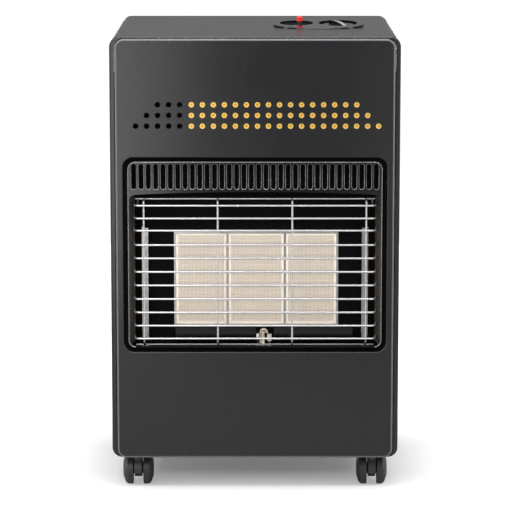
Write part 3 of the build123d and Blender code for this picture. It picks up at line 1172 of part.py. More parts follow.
def build_parts():
    """Every sub-part by its node's name."""
    parts = {
        "cabinet_shell": cabinet_shell(),
        "front_panel": front_panel(),
        "vent_insert": vent_insert(),
        "rear_cover": rear_cover(),
        "base_plate": base_plate(),
        "castor_sockets": castor_sockets(),
        "louvre_bezel": louvre_bezel(),
        "left_cheek": cheek(-1),
        "right_cheek": cheek(1),
        "wire_guard": wire_guard(),
        "firebox": firebox(),
        "left_reflector": side_reflector(-1),
        "right_reflector": side_reflector(1),
        "burner_frame": burner_frame(),
        "lower_baffle": lower_baffle(),
        "heat_shield": heat_shield(),
        "injector_bracket": injector_bracket(),
        "injectors": injectors(),
        "pilot_tube": pilot_tube(),
        "pilot_bracket": pilot_bracket(),
        "pilot_burner": pilot_burner(),
        "spark_electrode": spark_electrode(),
        "spark_lead": spark_lead(),
        "thermocouple": thermocouple(),
        "control_panel": control_panel(),
        "control_knob": control_knob(),
        "valve_spindle": valve_spindle(),
        "valve_plunger": valve_plunger(),
        "gas_valve_body": gas_valve_body(),
        "gas_inlet_nozzle": gas_inlet_nozzle(),
        "piezo_igniter": piezo_igniter(),
        "igniter_button": igniter_button(),
        "igniter_plunger": igniter_plunger(),
        "casing_screws": casing_screws(),
    }
    for place, (x, width) in PLAQUES.items():
        parts[f"ceramic_plaque_{place}"] = ceramic_plaque(x, width)
        parts[f"burner_plenum_{place}"] = burner_plenum(x, width)
    for step, place in enumerate(("right", "centre", "left")):
        parts[f"feed_tube_{place}"] = feed_tube(step, PLAQUES[place][0])
    for place, (x, y) in castor_places().items():
        parts[f"castor_{place}_hood"] = castor_hood(x, y)
        parts[f"castor_{place}_axle"] = castor_axle(x, y)
        parts[f"castor_{place}_wheel_left"] = castor_wheel(x, y, -1)
        parts[f"castor_{place}_wheel_right"] = castor_wheel(x, y, 1)
    return parts


os.makedirs("parts", exist_ok=True)
for node, shape in build_parts().items():
    export_step(shape, f"parts/{node}.step")
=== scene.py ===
import math

import bmesh
import bpy
from mathutils import Matrix, Quaternion, Vector


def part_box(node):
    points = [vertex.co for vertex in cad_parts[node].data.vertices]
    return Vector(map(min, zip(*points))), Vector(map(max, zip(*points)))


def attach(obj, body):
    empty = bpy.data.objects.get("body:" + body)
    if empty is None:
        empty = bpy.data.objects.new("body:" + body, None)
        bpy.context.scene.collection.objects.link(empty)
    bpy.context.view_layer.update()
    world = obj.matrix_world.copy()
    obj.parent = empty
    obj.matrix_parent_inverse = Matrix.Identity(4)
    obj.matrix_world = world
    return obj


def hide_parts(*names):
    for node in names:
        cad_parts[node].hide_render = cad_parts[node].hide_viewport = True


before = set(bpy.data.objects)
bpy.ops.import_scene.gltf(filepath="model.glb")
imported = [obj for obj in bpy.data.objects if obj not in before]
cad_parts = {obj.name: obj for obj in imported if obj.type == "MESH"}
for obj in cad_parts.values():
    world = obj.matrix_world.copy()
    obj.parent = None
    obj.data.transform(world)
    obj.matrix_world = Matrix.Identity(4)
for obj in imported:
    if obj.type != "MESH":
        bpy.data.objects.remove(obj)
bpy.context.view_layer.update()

# A portable gas cabinet heater: the casing and front panel first, then the hearth with its guard and
# burner, the gas fittings, the controls and the castors. Metres, in the CAD's frame: X to the right,
# Y from the front to the back, Z up. A setback is a depth behind the front panel's face.


# ---------------------------------------------------------------- casing and rear cover
# The wrap-round casing and the lift-off back: 1 mm steel sheet, pressed, then powder-coated
# black. The coat's fine orange peel breaks up the sheen that the big flat sides take.
ORANGE_PEEL = 0.0015
PEEL_DEPTH = 0.0002
COAT_CLOUD = 0.060


def linear(colour):
    """An sRGB hex value as the linear colour that a shader takes."""
    channels = [int(colour[place:place + 2], 16) / 255 for place in (1, 3, 5)]
    return tuple(c / 12.92 if c <= 0.04045 else ((c + 0.055) / 1.055) ** 2.4 for c in channels) + (1.0,)


def add(tree, kind, settings=None, links=None):
    """Adds a node, with its settings by property or input, and its links by input.

    Inputs that share a name go by number. A Mix node's factor is 0, its two plain values are 2 and 3,
    and its two colours 6 and 7.
    """
    node = tree.nodes.new(kind)
    for name, value in (settings or {}).items():
        if isinstance(name, int) or name in node.inputs:
            node.inputs[name].default_value = value
        else:
            setattr(node, name, value)
    for name, socket in (links or {}).items():
        tree.links.new(socket, node.inputs[name])
    return node


def start_material(name, colour, roughness, **settings):
    """A material whose shader has these constants; returns it with its tree and shader."""
    finish = bpy.data.materials.new(name)
    finish.use_nodes = True
    shader = finish.node_tree.nodes["Principled BSDF"]
    shader.inputs["Base Color"].default_value = linear(colour)
    shader.inputs["Roughness"].default_value = roughness
    for key, value in settings.items():
        shader.inputs[key.replace("_", " ")].default_value = value
    return finish, finish.node_tree, shader


def dress(finish, *names):
    """Gives CAD nodes a material."""
    for name in names:
        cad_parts[name].material_slots[0].material = finish


def powder_coat(name, colour, roughness):
    """Powder-coated steel: orange peel, and a sheen that varies a little from patch to patch."""
    coat, tree, shader = start_material(name, colour, roughness)
    where = add(tree, "ShaderNodeTexCoord").outputs["Object"]
    peel = add(tree, "ShaderNodeTexNoise", {"Scale": 1 / ORANGE_PEEL, "Detail": 2.0}, {"Vector": where})
    bump = add(
        tree, "ShaderNodeBump", {"Strength": 0.14, "Distance": PEEL_DEPTH}, {"Height": peel.outputs["Fac"]},
    )
    tree.links.new(bump.outputs["Normal"], shader.inputs["Normal"])
    cloud = add(tree, "ShaderNodeTexNoise", {"Scale": 1 / COAT_CLOUD, "Detail": 3.0}, {"Vector": where})
    sheen = add(
        tree, "ShaderNodeMapRange", {"To Min": roughness - 0.03, "To Max": roughness + 0.05},
        {"Value": cloud.outputs["Fac"]},
    )
    tree.links.new(sheen.outputs["Result"], shader.inputs["Roughness"])
    return coat


casing_coat = powder_coat("powder_coated_steel", "#0D0D10", 0.27)
dress(casing_coat, "cabinet_shell", "rear_cover")


# ---------------------------------------------------------------- front panel
# A pressed 1 mm steel panel in the casing's powder coat, with a painted highlight along its folds.
# Its edges are bent back, the heat opening has a tight rolled-in edge, and three rows of round holes
# with slightly drawn lips are punched through its upper part.
FACE_Y = -0.210
PANEL_HALF_WIDTH = 0.212
PANEL_LOW = 0.0544
PANEL_HIGH = 0.7010
PANEL_CORNER = 0.014
PANEL_FOLD = 0.003
PANEL_RETURN = 0.009
SHEET = 0.001
WINDOW_HALF_WIDTH = 0.2005
WINDOW_LOW = 0.2208
WINDOW_HIGH = 0.5211
WINDOW_CORNER = 0.016
WINDOW_ROLL = 0.0016
WINDOW_DEPTH = 0.008
HOLE_RADIUS = 0.00415
HOLE_LIP = 0.0004
HOLE_PITCH = 0.01665
HOLE_ROWS = (0.6014, 0.5852, 0.5689)
LAST_OPEN_HOLE = -0.1138
OPEN_HOLES = (3, 4, 5)
FIRST_BACKED_HOLE = -0.0962
BACKED_HOLES = (16, 17, 18)
CORNER_VERTS = 28
HOLE_VERTS = 16
QUARTER_ROUND = [math.radians(turn) for turn in (0, 22.5, 45, 67.5, 90)]
COARSE_QUARTER_ROUND = QUARTER_ROUND[::2]
SHARP_ANGLE = math.radians(40)
FOLD_HIGHLIGHT_FINISH = 1


def draw_ring(bm, count, middle, half_width, low, high, corner, setback):
    """A ring with rounded corners, at a depth behind the front panel's face; returns its edges."""
    corner = min(corner, half_width)
    turn = Matrix.Rotation(math.pi / 2, 4, "X") @ Matrix.Rotation(math.pi / count, 4, "Z")
    ring = bmesh.ops.create_circle(bm, segments=count, radius=corner, matrix=turn)["verts"]
    for side in (-1, 1):
        half = [vert for vert in ring if vert.co.x * side > 0]
        bmesh.ops.translate(bm, verts=half, vec=(side * (half_width - corner), 0, 0))
    upper = [vert for vert in ring if vert.co.z > 0]
    bmesh.ops.translate(bm, verts=upper, vec=(0, 0, high - low - 2 * corner))
    bmesh.ops.translate(bm, verts=ring, vec=(middle, FACE_Y + setback, low + corner))
    return list({edge for vert in ring for edge in vert.link_edges})


def join_rings(bm, rings, smooth=True):
    """Bridges each ring to the next one; returns the faces."""
    faces = []
    for outer, inner in zip(rings, rings[1:]):
        faces += bmesh.ops.bridge_loops(bm, edges=outer + inner)["faces"]
    for face in faces:
        face.smooth = smooth
    return faces


def finish_piece(bm, name, finishes, body, smooth=True):
    """A bmesh as an object that rides on a body, with its faces turned outwards."""
    bmesh.ops.recalc_face_normals(bm, faces=bm.faces)
    if smooth:
        for face in bm.faces:
            face.smooth = True
    mesh = bpy.data.meshes.new(name)
    bm.to_mesh(mesh)
    bm.free()
    for finish in finishes:
        mesh.materials.append(finish)
    if smooth:
        mesh.set_sharp_from_angle(angle=SHARP_ANGLE)
    piece = bpy.data.objects.new(name, mesh)
    bpy.context.scene.collection.objects.link(piece)
    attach(piece, body)
    return piece


# A lighter copy of the coat for the folds: a painted highlight.
fold_painted_highlight_coat = powder_coat("powder_coat_painted_fold_highlight", "#5C5C60", 0.27)
panel = bmesh.new()
fold_rings = [draw_ring(
    panel, CORNER_VERTS, 0, PANEL_HALF_WIDTH, PANEL_LOW, PANEL_HIGH, PANEL_CORNER, PANEL_RETURN,
)]
for turn in QUARTER_ROUND:
    inset = PANEL_FOLD * (1 - math.cos(turn))
    fold_rings.append(draw_ring(
        panel, CORNER_VERTS, 0, PANEL_HALF_WIDTH - inset, PANEL_LOW + inset, PANEL_HIGH - inset,
        PANEL_CORNER - inset, PANEL_FOLD * (1 - math.sin(turn)),
    ))

# Only the middle of the fold takes the lighter coat, which is the painted highlight.
join_rings(panel, fold_rings[:3])
for face in join_rings(panel, fold_rings[2:5]):
    face.material_index = FOLD_HIGHLIGHT_FINISH
join_rings(panel, fold_rings[4:])

window_rings = []
for turn in QUARTER_ROUND:
    out = WINDOW_ROLL * (1 - math.sin(turn))
    window_rings.append(draw_ring(
        panel, CORNER_VERTS, 0, WINDOW_HALF_WIDTH + out, WINDOW_LOW - out, WINDOW_HIGH + out,
        WINDOW_CORNER + out, WINDOW_ROLL * (1 - math.cos(turn)),
    ))
window_rings.append(draw_ring(
    panel, CORNER_VERTS, 0, WINDOW_HALF_WIDTH, WINDOW_LOW, WINDOW_HIGH, WINDOW_CORNER, WINDOW_DEPTH,
))
join_rings(panel, window_rings)

face_edges = fold_rings[-1] + window_rings[0]
for row, height in enumerate(HOLE_ROWS):
    places = [LAST_OPEN_HOLE - HOLE_PITCH * place for place in range(OPEN_HOLES[row])]
    places += [FIRST_BACKED_HOLE + HOLE_PITCH * place for place in range(BACKED_HOLES[row])]
    for x in places:
        lip_rings = []
        for turn in COARSE_QUARTER_ROUND:
            radius = HOLE_RADIUS + HOLE_LIP * (1 - math.sin(turn))
            lip_rings.append(draw_ring(
                panel, HOLE_VERTS, x, radius, height - radius, height + radius, radius,
                HOLE_LIP * (1 - math.cos(turn)),
            ))
        join_rings(panel, lip_rings)
        face_edges = face_edges + lip_rings[0]
bmesh.ops.triangle_fill(panel, edges=face_edges, use_beauty=True, normal=(0, -1, 0))
panel_piece = finish_piece(
    panel, "front_pressing", (casing_coat, fold_painted_highlight_coat), "cabinet", smooth=False,
)
sheet = panel_piece.modifiers.new("sheet", "SOLIDIFY")
sheet.thickness = SHEET
sheet.offset = -1
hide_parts("front_panel")


# ---------------------------------------------------------------- gold insert
# A gold-lacquered steel strip behind the right-hand holes of the front panel, pressed into a shallow
# dimple behind each. Each dimple's middle is painted deeper orange, painted shade, with pale gold round it.
HOLE_ROW_PITCH = (HOLE_ROWS[0] - HOLE_ROWS[2]) / 2
DIMPLE = 0.0015
LACQUER_GRAIN = 0.003

gold_lacquer_dimple_shade, tree, shader = start_material("gold_lacquered_steel_painted_dimple_shade", "#E3BC58", 0.30, Metallic=0.35)
where = add(tree, "ShaderNodeTexCoord").outputs["Object"]
flat = add(
    tree, "ShaderNodeMapping", {"Location": (-FIRST_BACKED_HOLE, 0, -HOLE_ROWS[1])}, {"Vector": where},
)
axes = add(tree, "ShaderNodeSeparateXYZ", None, {"Vector": flat.outputs["Vector"]})
across = add(
    tree, "ShaderNodeMath", {"operation": "PINGPONG", 1: HOLE_PITCH / 2}, {0: axes.outputs["X"]},
)
upward = add(
    tree, "ShaderNodeMath", {"operation": "PINGPONG", 1: HOLE_ROW_PITCH / 2}, {0: axes.outputs["Z"]},
)
both = add(
    tree, "ShaderNodeCombineXYZ", None, {"X": across.outputs["Value"], "Z": upward.outputs["Value"]},
)
reach = add(tree, "ShaderNodeVectorMath", {"operation": "LENGTH"}, {0: both.outputs["Vector"]})
ring = add(
    tree, "ShaderNodeMapRange",
    {"From Min": DIMPLE, "From Max": 2 * DIMPLE, "interpolation_type": "SMOOTHSTEP"},
    {"Value": reach.outputs["Value"]},
)
# Deeper orange in the middle of each dimple is painted shade.
ink = add(
    tree, "ShaderNodeMix", {"data_type": "RGBA", 6: linear("#D08C28"), 7: linear("#EBC766")},
    {0: ring.outputs["Result"]},
)
tree.links.new(ink.outputs[2], shader.inputs["Base Color"])
grain = add(tree, "ShaderNodeTexNoise", {"Scale": 1 / LACQUER_GRAIN, "Detail": 2.0}, {"Vector": where})
bump = add(tree, "ShaderNodeBump", {"Strength": 0.15, "Distance": 0.0003}, {"Height": grain.outputs["Fac"]})
tree.links.new(bump.outputs["Normal"], shader.inputs["Normal"])
dress(gold_lacquer_dimple_shade, "vent_insert")


# ---------------------------------------------------------------- hearth, cheeks and strip
# Folded steel. The hearth round the burner has a flat stove black that swallows the light, with
# faint patches of soot.
SOOT_PATCH = 0.020

stove_black, tree, shader = start_material("stove_black_steel", "#080809", 0.85, Specular_IOR_Level=0.06)
where = add(tree, "ShaderNodeTexCoord").outputs["Object"]
soot = add(tree, "ShaderNodeTexNoise", {"Scale": 1 / SOOT_PATCH, "Detail": 5.0}, {"Vector": where})
ink = add(
    tree, "ShaderNodeMix", {"data_type": "RGBA", 6: linear("#050506"), 7: linear("#0E0D0D")},
    {0: soot.outputs["Fac"]},
)
tree.links.new(ink.outputs[2], shader.inputs["Base Color"])
bump = add(tree, "ShaderNodeBump", {"Strength": 0.2, "Distance": 0.0005}, {"Height": soot.outputs["Fac"]})
tree.links.new(bump.outputs["Normal"], shader.inputs["Normal"])
dress(stove_black, "firebox")

# The strip under the burner has the bezel's black heat-proof enamel, glossy with a slight flow.
ENAMEL_FLOW = 0.004

enamel, tree, shader = start_material("black_fired_enamel", "#040405", 0.18)
where = add(tree, "ShaderNodeTexCoord").outputs["Object"]
flow = add(tree, "ShaderNodeTexNoise", {"Scale": 1 / ENAMEL_FLOW, "Detail": 3.0}, {"Vector": where})
bump = add(tree, "ShaderNodeBump", {"Strength": 0.10, "Distance": 0.0003}, {"Height": flow.outputs["Fac"]})
tree.links.new(bump.outputs["Normal"], shader.inputs["Normal"])
dress(enamel, "lower_baffle")

# The cheeks' enamel is a dull brown-grey, in darker and lighter patches.
CHEEK_PATCH = 0.012

cheek_enamel, tree, shader = start_material("brown_grey_enamel", "#3C362F", 0.50)
where = add(tree, "ShaderNodeTexCoord").outputs["Object"]
cheek_patches = add(tree, "ShaderNodeTexNoise", {"Scale": 1 / CHEEK_PATCH, "Detail": 4.0}, {"Vector": where})
ink = add(
    tree, "ShaderNodeMix", {"data_type": "RGBA", 6: linear("#312C26"), 7: linear("#473F37")},
    {0: cheek_patches.outputs["Fac"]},
)
tree.links.new(ink.outputs[2], shader.inputs["Base Color"])
dress(cheek_enamel, "left_cheek", "right_cheek")


# ---------------------------------------------------------------- louvred bezel
# One steel pressing with black heat-proof enamel: a rounded rim, a band of upright louvres with
# rolled-in edges, and the guard's opening. Its flange lies against the back of the front panel.
RIM_HALF_WIDTH = 0.1938
RIM_LOW = 0.2271
RIM_HIGH = 0.5145
RIM_CORNER = 0.012
RIM_WIDTH = 0.0016
RIM_SETBACK = 0.0020
BAND_SETBACK = 0.0040
FLANGE_SETBACK = 0.0080
FLANGE_HALF_WIDTH = 0.2065
FLANGE_LOW = 0.2148
FLANGE_HIGH = 0.5271
FLANGE_CORNER = 0.022
BEZEL_BACK = 0.0095
LOUVRE_COUNT = 34
LOUVRE_PITCH = 0.01116
LOUVRE_HALF_WIDTH = 0.0036
LOUVRE_LOW = 0.4722
LOUVRE_HIGH = 0.5108
LOUVRE_ROLL = 0.0011
LOUVRE_DEPTH = 0.0032
LOUVRE_VERTS = 20
OPENING_HALF_WIDTH = 0.1918
OPENING_LOW = 0.2296
OPENING_HIGH = 0.4635
OPENING_CORNER = 0.0095
OPENING_RISE = 0.0045
ARCH_CUTS = 24
HIGHLIGHT_PATCH = 0.006

# A lighter metallic grey on the tight rolled edges makes them a brighter line: a painted highlight.
enamel_edge_highlight, tree, shader = start_material("enamel_with_painted_edge_highlight", "#828284", 0.26, Metallic=0.85)
where = add(tree, "ShaderNodeTexCoord").outputs["Object"]
highlight_patches = add(tree, "ShaderNodeTexNoise", {"Scale": 1 / HIGHLIGHT_PATCH, "Detail": 3.0}, {"Vector": where})
ink = add(
    tree, "ShaderNodeMix", {"data_type": "RGBA", 6: linear("#727274"), 7: linear("#949496")},
    {0: highlight_patches.outputs["Fac"]},
)
tree.links.new(ink.outputs[2], shader.inputs["Base Color"])
BEZEL_FINISHES = (enamel, stove_black, enamel_edge_highlight)
# The flange, seen only in the gap round the rim, takes the flat stove black: painted shade in the gap.
FLANGE_SHADE_FINISH = 1
EDGE_HIGHLIGHT_FINISH = 2

bezel = bmesh.new()
flange_rings = [
    draw_ring(
        bezel, CORNER_VERTS, 0, FLANGE_HALF_WIDTH, FLANGE_LOW, FLANGE_HIGH, FLANGE_CORNER, setback,
    )
    for setback in (BEZEL_BACK, FLANGE_SETBACK)
]
radius = RIM_WIDTH / 2
rim_profile = [(0.0, FLANGE_SETBACK)]
for turn in QUARTER_ROUND:
    rim_profile.append((radius * (1 - math.cos(turn)), RIM_SETBACK + radius * (1 - math.sin(turn))))
for turn in reversed(QUARTER_ROUND[:-1]):
    rim_profile.append((radius * (1 + math.cos(turn)), RIM_SETBACK + radius * (1 - math.sin(turn))))
rim_profile.append((RIM_WIDTH, BAND_SETBACK))
rim_rings = [
    draw_ring(
        bezel, CORNER_VERTS, 0, RIM_HALF_WIDTH - inset, RIM_LOW + inset, RIM_HIGH - inset,
        RIM_CORNER - inset, setback,
    )
    for inset, setback in rim_profile
]
for face in join_rings(bezel, flange_rings + rim_rings[:2], smooth=False):
    face.material_index = FLANGE_SHADE_FINISH
# The rim takes the painted highlight all round except along its lower straight run.
for face in join_rings(bezel, rim_rings[1:]):
    middle = face.calc_center_median()
    if middle.z > RIM_LOW + RIM_CORNER or abs(middle.x) > RIM_HALF_WIDTH - RIM_CORNER:
        face.material_index = EDGE_HIGHLIGHT_FINISH

# The opening's upper edge is a shallow arch.
opening = draw_ring(
    bezel, CORNER_VERTS, 0, OPENING_HALF_WIDTH, OPENING_LOW, OPENING_HIGH, OPENING_CORNER, BAND_SETBACK,
)
upper = [edge for edge in opening if edge.verts[0].co.z > RIM_LOW + RIM_CORNER]
top = max(upper, key=lambda edge: edge.calc_length())
arch = bmesh.ops.subdivide_edges(bezel, edges=[top], cuts=ARCH_CUTS)
raised = {part for part in arch["geom"] if isinstance(part, bmesh.types.BMVert)}
for vert in raised:
    vert.co.z += OPENING_RISE * (1 - (vert.co.x / OPENING_HALF_WIDTH) ** 2)
opening = [edge for edge in opening if edge.is_valid and edge is not top]
opening = list({edge for vert in raised for edge in vert.link_edges} | set(opening))
band_edges = rim_rings[-1] + opening
walls = bmesh.ops.extrude_edge_only(bezel, edges=opening)["geom"]
deep = [part for part in walls if isinstance(part, bmesh.types.BMVert)]
bmesh.ops.translate(bezel, verts=deep, vec=(0, BEZEL_BACK - BAND_SETBACK, 0))

# The middle of each louvre's rolled edge takes the painted highlight, one of the bright lines.
for place in range(LOUVRE_COUNT):
    middle = LOUVRE_PITCH * (place - (LOUVRE_COUNT - 1) / 2)
    rolls = []
    for turn in QUARTER_ROUND:
        out = LOUVRE_ROLL * (1 - math.sin(turn))
        half_width = LOUVRE_HALF_WIDTH + out
        rolls.append(draw_ring(
            bezel, LOUVRE_VERTS, middle, half_width, LOUVRE_LOW - out, LOUVRE_HIGH + out, half_width,
            BAND_SETBACK + LOUVRE_ROLL * (1 - math.cos(turn)),
        ))
    rolls.append(draw_ring(
        bezel, LOUVRE_VERTS, middle, LOUVRE_HALF_WIDTH, LOUVRE_LOW, LOUVRE_HIGH, LOUVRE_HALF_WIDTH,
        BAND_SETBACK + LOUVRE_DEPTH,
    ))
    join_rings(bezel, rolls[:2])
    for face in join_rings(bezel, rolls[1:4]):
        face.material_index = EDGE_HIGHLIGHT_FINISH
    join_rings(bezel, rolls[3:])
    band_edges += rolls[0]
bmesh.ops.triangle_fill(bezel, edges=band_edges, use_beauty=True, normal=(0, -1, 0))
bezel_piece = finish_piece(bezel, "bezel_pressing", BEZEL_FINISHES, "cabinet", smooth=False)
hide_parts("louvre_bezel")


# ---------------------------------------------------------------- bright sheet
# The side strips and the burner's frame: bright stainless sheet, cut and folded. Its rolling left
# a faint upright grain that smears what the steel mirrors.
ROLLING_GRAIN = 0.0008
ROLLING_STREAK = 0.040

bright_steel, tree, shader = start_material("bright_rolled_stainless", "#B4B2AF", 0.28, Metallic=1.0)
where = add(tree, "ShaderNodeTexCoord").outputs["Object"]
stretch = add(
    tree, "ShaderNodeMapping", {"Scale": (1 / ROLLING_GRAIN, 1 / ROLLING_GRAIN, 1 / ROLLING_STREAK)},
    {"Vector": where},
)
grain = add(tree, "ShaderNodeTexNoise", {"Scale": 1.0, "Detail": 2.0}, {"Vector": stretch.outputs["Vector"]})
streak = add(tree, "ShaderNodeMapRange", {"To Min": 0.20, "To Max": 0.40}, {"Value": grain.outputs["Fac"]})
tree.links.new(streak.outputs["Result"], shader.inputs["Roughness"])
dress(bright_steel, "left_reflector", "right_reflector", "burner_frame")


# ---------------------------------------------------------------- zinc-coated sheet
# The base tray, the brackets and the screws: galvanised steel, pressed and bent. Its pale spangle
# shows as patches that shine a little more or less.
SPANGLE = 0.009

zinc, tree, shader = start_material("galvanised_sheet", "#A7AAAC", 0.42, Metallic=1.0)
where = add(tree, "ShaderNodeTexCoord").outputs["Object"]
spangle = add(tree, "ShaderNodeTexVoronoi", {"Scale": 1 / SPANGLE}, {"Vector": where})
tone = add(tree, "ShaderNodeMapRange", {"To Min": 0.34, "To Max": 0.52}, {"Value": spangle.outputs["Color"]})
tree.links.new(tone.outputs["Result"], shader.inputs["Roughness"])
dress(zinc, "base_plate", "injector_bracket", "pilot_bracket", "casing_screws")

# The heat shield behind the hearth is the same sheet, painted dark brown-grey in patches as painted shade.
HEAT_BLOOM = 0.050

shield_painted_shade_steel, tree, shader = start_material("zinc_sheet_darkened_as_painted_shade", "#3A3836", 0.60, Metallic=1.0)
where = add(tree, "ShaderNodeTexCoord").outputs["Object"]
bloom = add(tree, "ShaderNodeTexNoise", {"Scale": 1 / HEAT_BLOOM, "Detail": 4.0}, {"Vector": where})
ink = add(
    tree, "ShaderNodeMix", {"data_type": "RGBA", 6: linear("#2C2A29"), 7: linear("#4A4642")},
    {0: bloom.outputs["Fac"]},
)
tree.links.new(ink.outputs[2], shader.inputs["Base Color"])
dress(shield_painted_shade_steel, "heat_shield")


# ---------------------------------------------------------------- wire guard
# Eleven cross wires bent back at both ends into the cheeks, four uprights spot-welded behind
# them, and two thinner rear wires: drawn steel, bent and welded, under a fine-grained chromium
# plate that scatters part of the light.
WIRE = 0.003
THIN_WIRE = 0.0024
WIRE_SEGMENTS = 12
BEND_STEPS = 6
FRONT_WIRE_Y = FACE_Y + 0.0125
REAR_WIRE_Y = FACE_Y + 0.0435
CROSS_HEIGHTS = (0.4457, 0.4260, 0.4072, 0.3849, 0.3643, 0.3433, 0.3224, 0.3012, 0.2803, 0.2596, 0.2394)
CROSS_CORNER_X = -0.1830
CROSS_END_X = -0.1876
CROSS_BEND = 0.0055
UPRIGHT_X = (-0.170, -0.05695, 0.05695, 0.170)
UPRIGHT_BEND = 0.004
UPRIGHT_FOOT = 0.2335
REAR_HEIGHTS = (0.2242, 0.4519)
REAR_HALF_LENGTH = 0.1836
LINK_X = 0.1795
DRAWING_MARK = 0.006
UP = Vector((0, 0, 1))
RIGHT = Vector((1, 0, 0))
FORWARD = Vector((0, -1, 0))

chrome, tree, shader = start_material("chromium_plate", "#BEBEC0", 0.26, Metallic=0.60)
where = add(tree, "ShaderNodeTexCoord").outputs["Object"]
draw = add(tree, "ShaderNodeTexNoise", {"Scale": 1 / DRAWING_MARK, "Detail": 2.0}, {"Vector": where})
polish = add(tree, "ShaderNodeMapRange", {"To Min": 0.22, "To Max": 0.30}, {"Value": draw.outputs["Fac"]})
tree.links.new(polish.outputs["Result"], shader.inputs["Roughness"])


def draw_wire(bm, start, heading, thickness, steps):
    """A wire: a ring is extruded along each straight run and spun round each bend.

    A step is the run's length, then the bend's axis, angle and radius; an angle of 0 is no bend.
    """
    place, heading = Vector(start), heading.normalized()
    turned = Matrix.Translation(place) @ UP.rotation_difference(heading).to_matrix().to_4x4()
    verts = bmesh.ops.create_circle(bm, segments=WIRE_SEGMENTS, radius=thickness / 2, matrix=turned)["verts"]
    ends = [verts]
    ring = list({edge for vert in verts for edge in vert.link_edges})
    for length, axis, angle, radius in steps:
        run = bmesh.ops.extrude_edge_only(bm, edges=ring)["geom"]
        verts = [part for part in run if isinstance(part, bmesh.types.BMVert)]
        near = {edge for vert in verts for edge in vert.link_edges}
        ring = [edge for edge in near if all(vert in verts for vert in edge.verts)]
        bmesh.ops.translate(bm, verts=verts, vec=heading * length)
        place += heading * length
        if angle:
            centre = place + axis.cross(heading) * radius
            last = bmesh.ops.spin(
                bm, geom=verts + ring, cent=centre, axis=axis, angle=angle, steps=BEND_STEPS,
                use_duplicate=False,
            )["geom_last"]
            verts = [part for part in last if isinstance(part, bmesh.types.BMVert)]
            ring = [part for part in last if isinstance(part, bmesh.types.BMEdge)]
            turn = Quaternion(axis, angle)
            place = centre + turn @ (place - centre)
            heading = turn @ heading
    ends.append(verts)
    for end in ends:
        bmesh.ops.contextual_create(bm, geom=end)


guard = bmesh.new()
leg = Vector((CROSS_CORNER_X - CROSS_END_X, FRONT_WIRE_Y - REAR_WIRE_Y, 0))
bend = leg.angle(RIGHT)
tangent = CROSS_BEND * math.tan(bend / 2)
for height in CROSS_HEIGHTS:
    draw_wire(guard, (CROSS_END_X, REAR_WIRE_Y, height), leg, WIRE, [
        (leg.length - tangent, UP, bend, CROSS_BEND),
        (-2 * CROSS_CORNER_X - 2 * tangent, UP, bend, CROSS_BEND),
        (leg.length - tangent, UP, 0, 0),
    ])

# Each upright starts at the top rear wire, comes forward, runs down and goes back to the lower one.
low, high = REAR_HEIGHTS
upright_y = FRONT_WIRE_Y + WIRE
upright_end_y = REAR_WIRE_Y - THIN_WIRE / 2
foot = Vector((0, upright_end_y - upright_y, low - UPRIGHT_FOOT))
foot_bend = foot.angle(-UP)
foot_tangent = UPRIGHT_BEND * math.tan(foot_bend / 2)
for x in UPRIGHT_X:
    draw_wire(guard, (x, upright_end_y, high), FORWARD, WIRE, [
        (upright_end_y - upright_y - UPRIGHT_BEND, RIGHT, math.pi / 2, UPRIGHT_BEND),
        (high - UPRIGHT_FOOT - UPRIGHT_BEND - foot_tangent, RIGHT, foot_bend, UPRIGHT_BEND),
        (foot.length - foot_tangent, RIGHT, 0, 0),
    ])
for height in REAR_HEIGHTS:
    draw_wire(guard, (-REAR_HALF_LENGTH, REAR_WIRE_Y, height), RIGHT, THIN_WIRE, [
        (2 * REAR_HALF_LENGTH, UP, 0, 0),
    ])

# A short link near each end ties the top cross wire to the rear wire behind it.
for side in (-1, 1):
    start = Vector((side * LINK_X, REAR_WIRE_Y - WIRE / 2, high))
    link = Vector((side * LINK_X, FRONT_WIRE_Y + THIN_WIRE, CROSS_HEIGHTS[0])) - start
    draw_wire(guard, start, link, THIN_WIRE, [(link.length, UP, 0, 0)])
guard_piece = finish_piece(guard, "guard_wires", (chrome,), "cabinet")
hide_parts("wire_guard")


# ---------------------------------------------------------------- ceramic plaques
# Three pressed cordierite tiles with a plain raised rim round a field of fine holes. The field
# is painted a darker warm grey-beige, with darker dots at the holes: painted shade; the rim is whiter.
TILE_ROUND = 0.0006
TILE_RIM = 0.0040
TILE_SLOPE = 0.0005
TILE_STEP = 0.0008
CHALK_GRAIN = 0.003
FIELD_FINISH = 1

plaque_rim, tree, shader = start_material("pressed_cordierite", "#F3E8DA", 0.85)
where = add(tree, "ShaderNodeTexCoord").outputs["Object"]
chalk = add(tree, "ShaderNodeTexNoise", {"Scale": 1 / CHALK_GRAIN, "Detail": 4.0}, {"Vector": where})
bump = add(tree, "ShaderNodeBump", {"Strength": 0.2, "Distance": 0.0002}, {"Height": chalk.outputs["Fac"]})
tree.links.new(bump.outputs["Normal"], shader.inputs["Normal"])

# The real holes are 1.2 mm apart. They are drawn 2.1 mm apart, so that their rows still show.
TILE_HOLE_PITCH = 0.0021

plaque_field_hole_shade, tree, shader = start_material("perforated_cordierite_painted_hole_shade", "#D8CCBD", 0.90)
where = add(tree, "ShaderNodeTexCoord").outputs["Object"]
flat = add(
    tree, "ShaderNodeMapping", {"Scale": (1 / TILE_HOLE_PITCH, 0.0, 1 / TILE_HOLE_PITCH)}, {"Vector": where},
)
holes = add(
    tree, "ShaderNodeTexVoronoi", {"Scale": 1.0, "Randomness": 0.0}, {"Vector": flat.outputs["Vector"]},
)
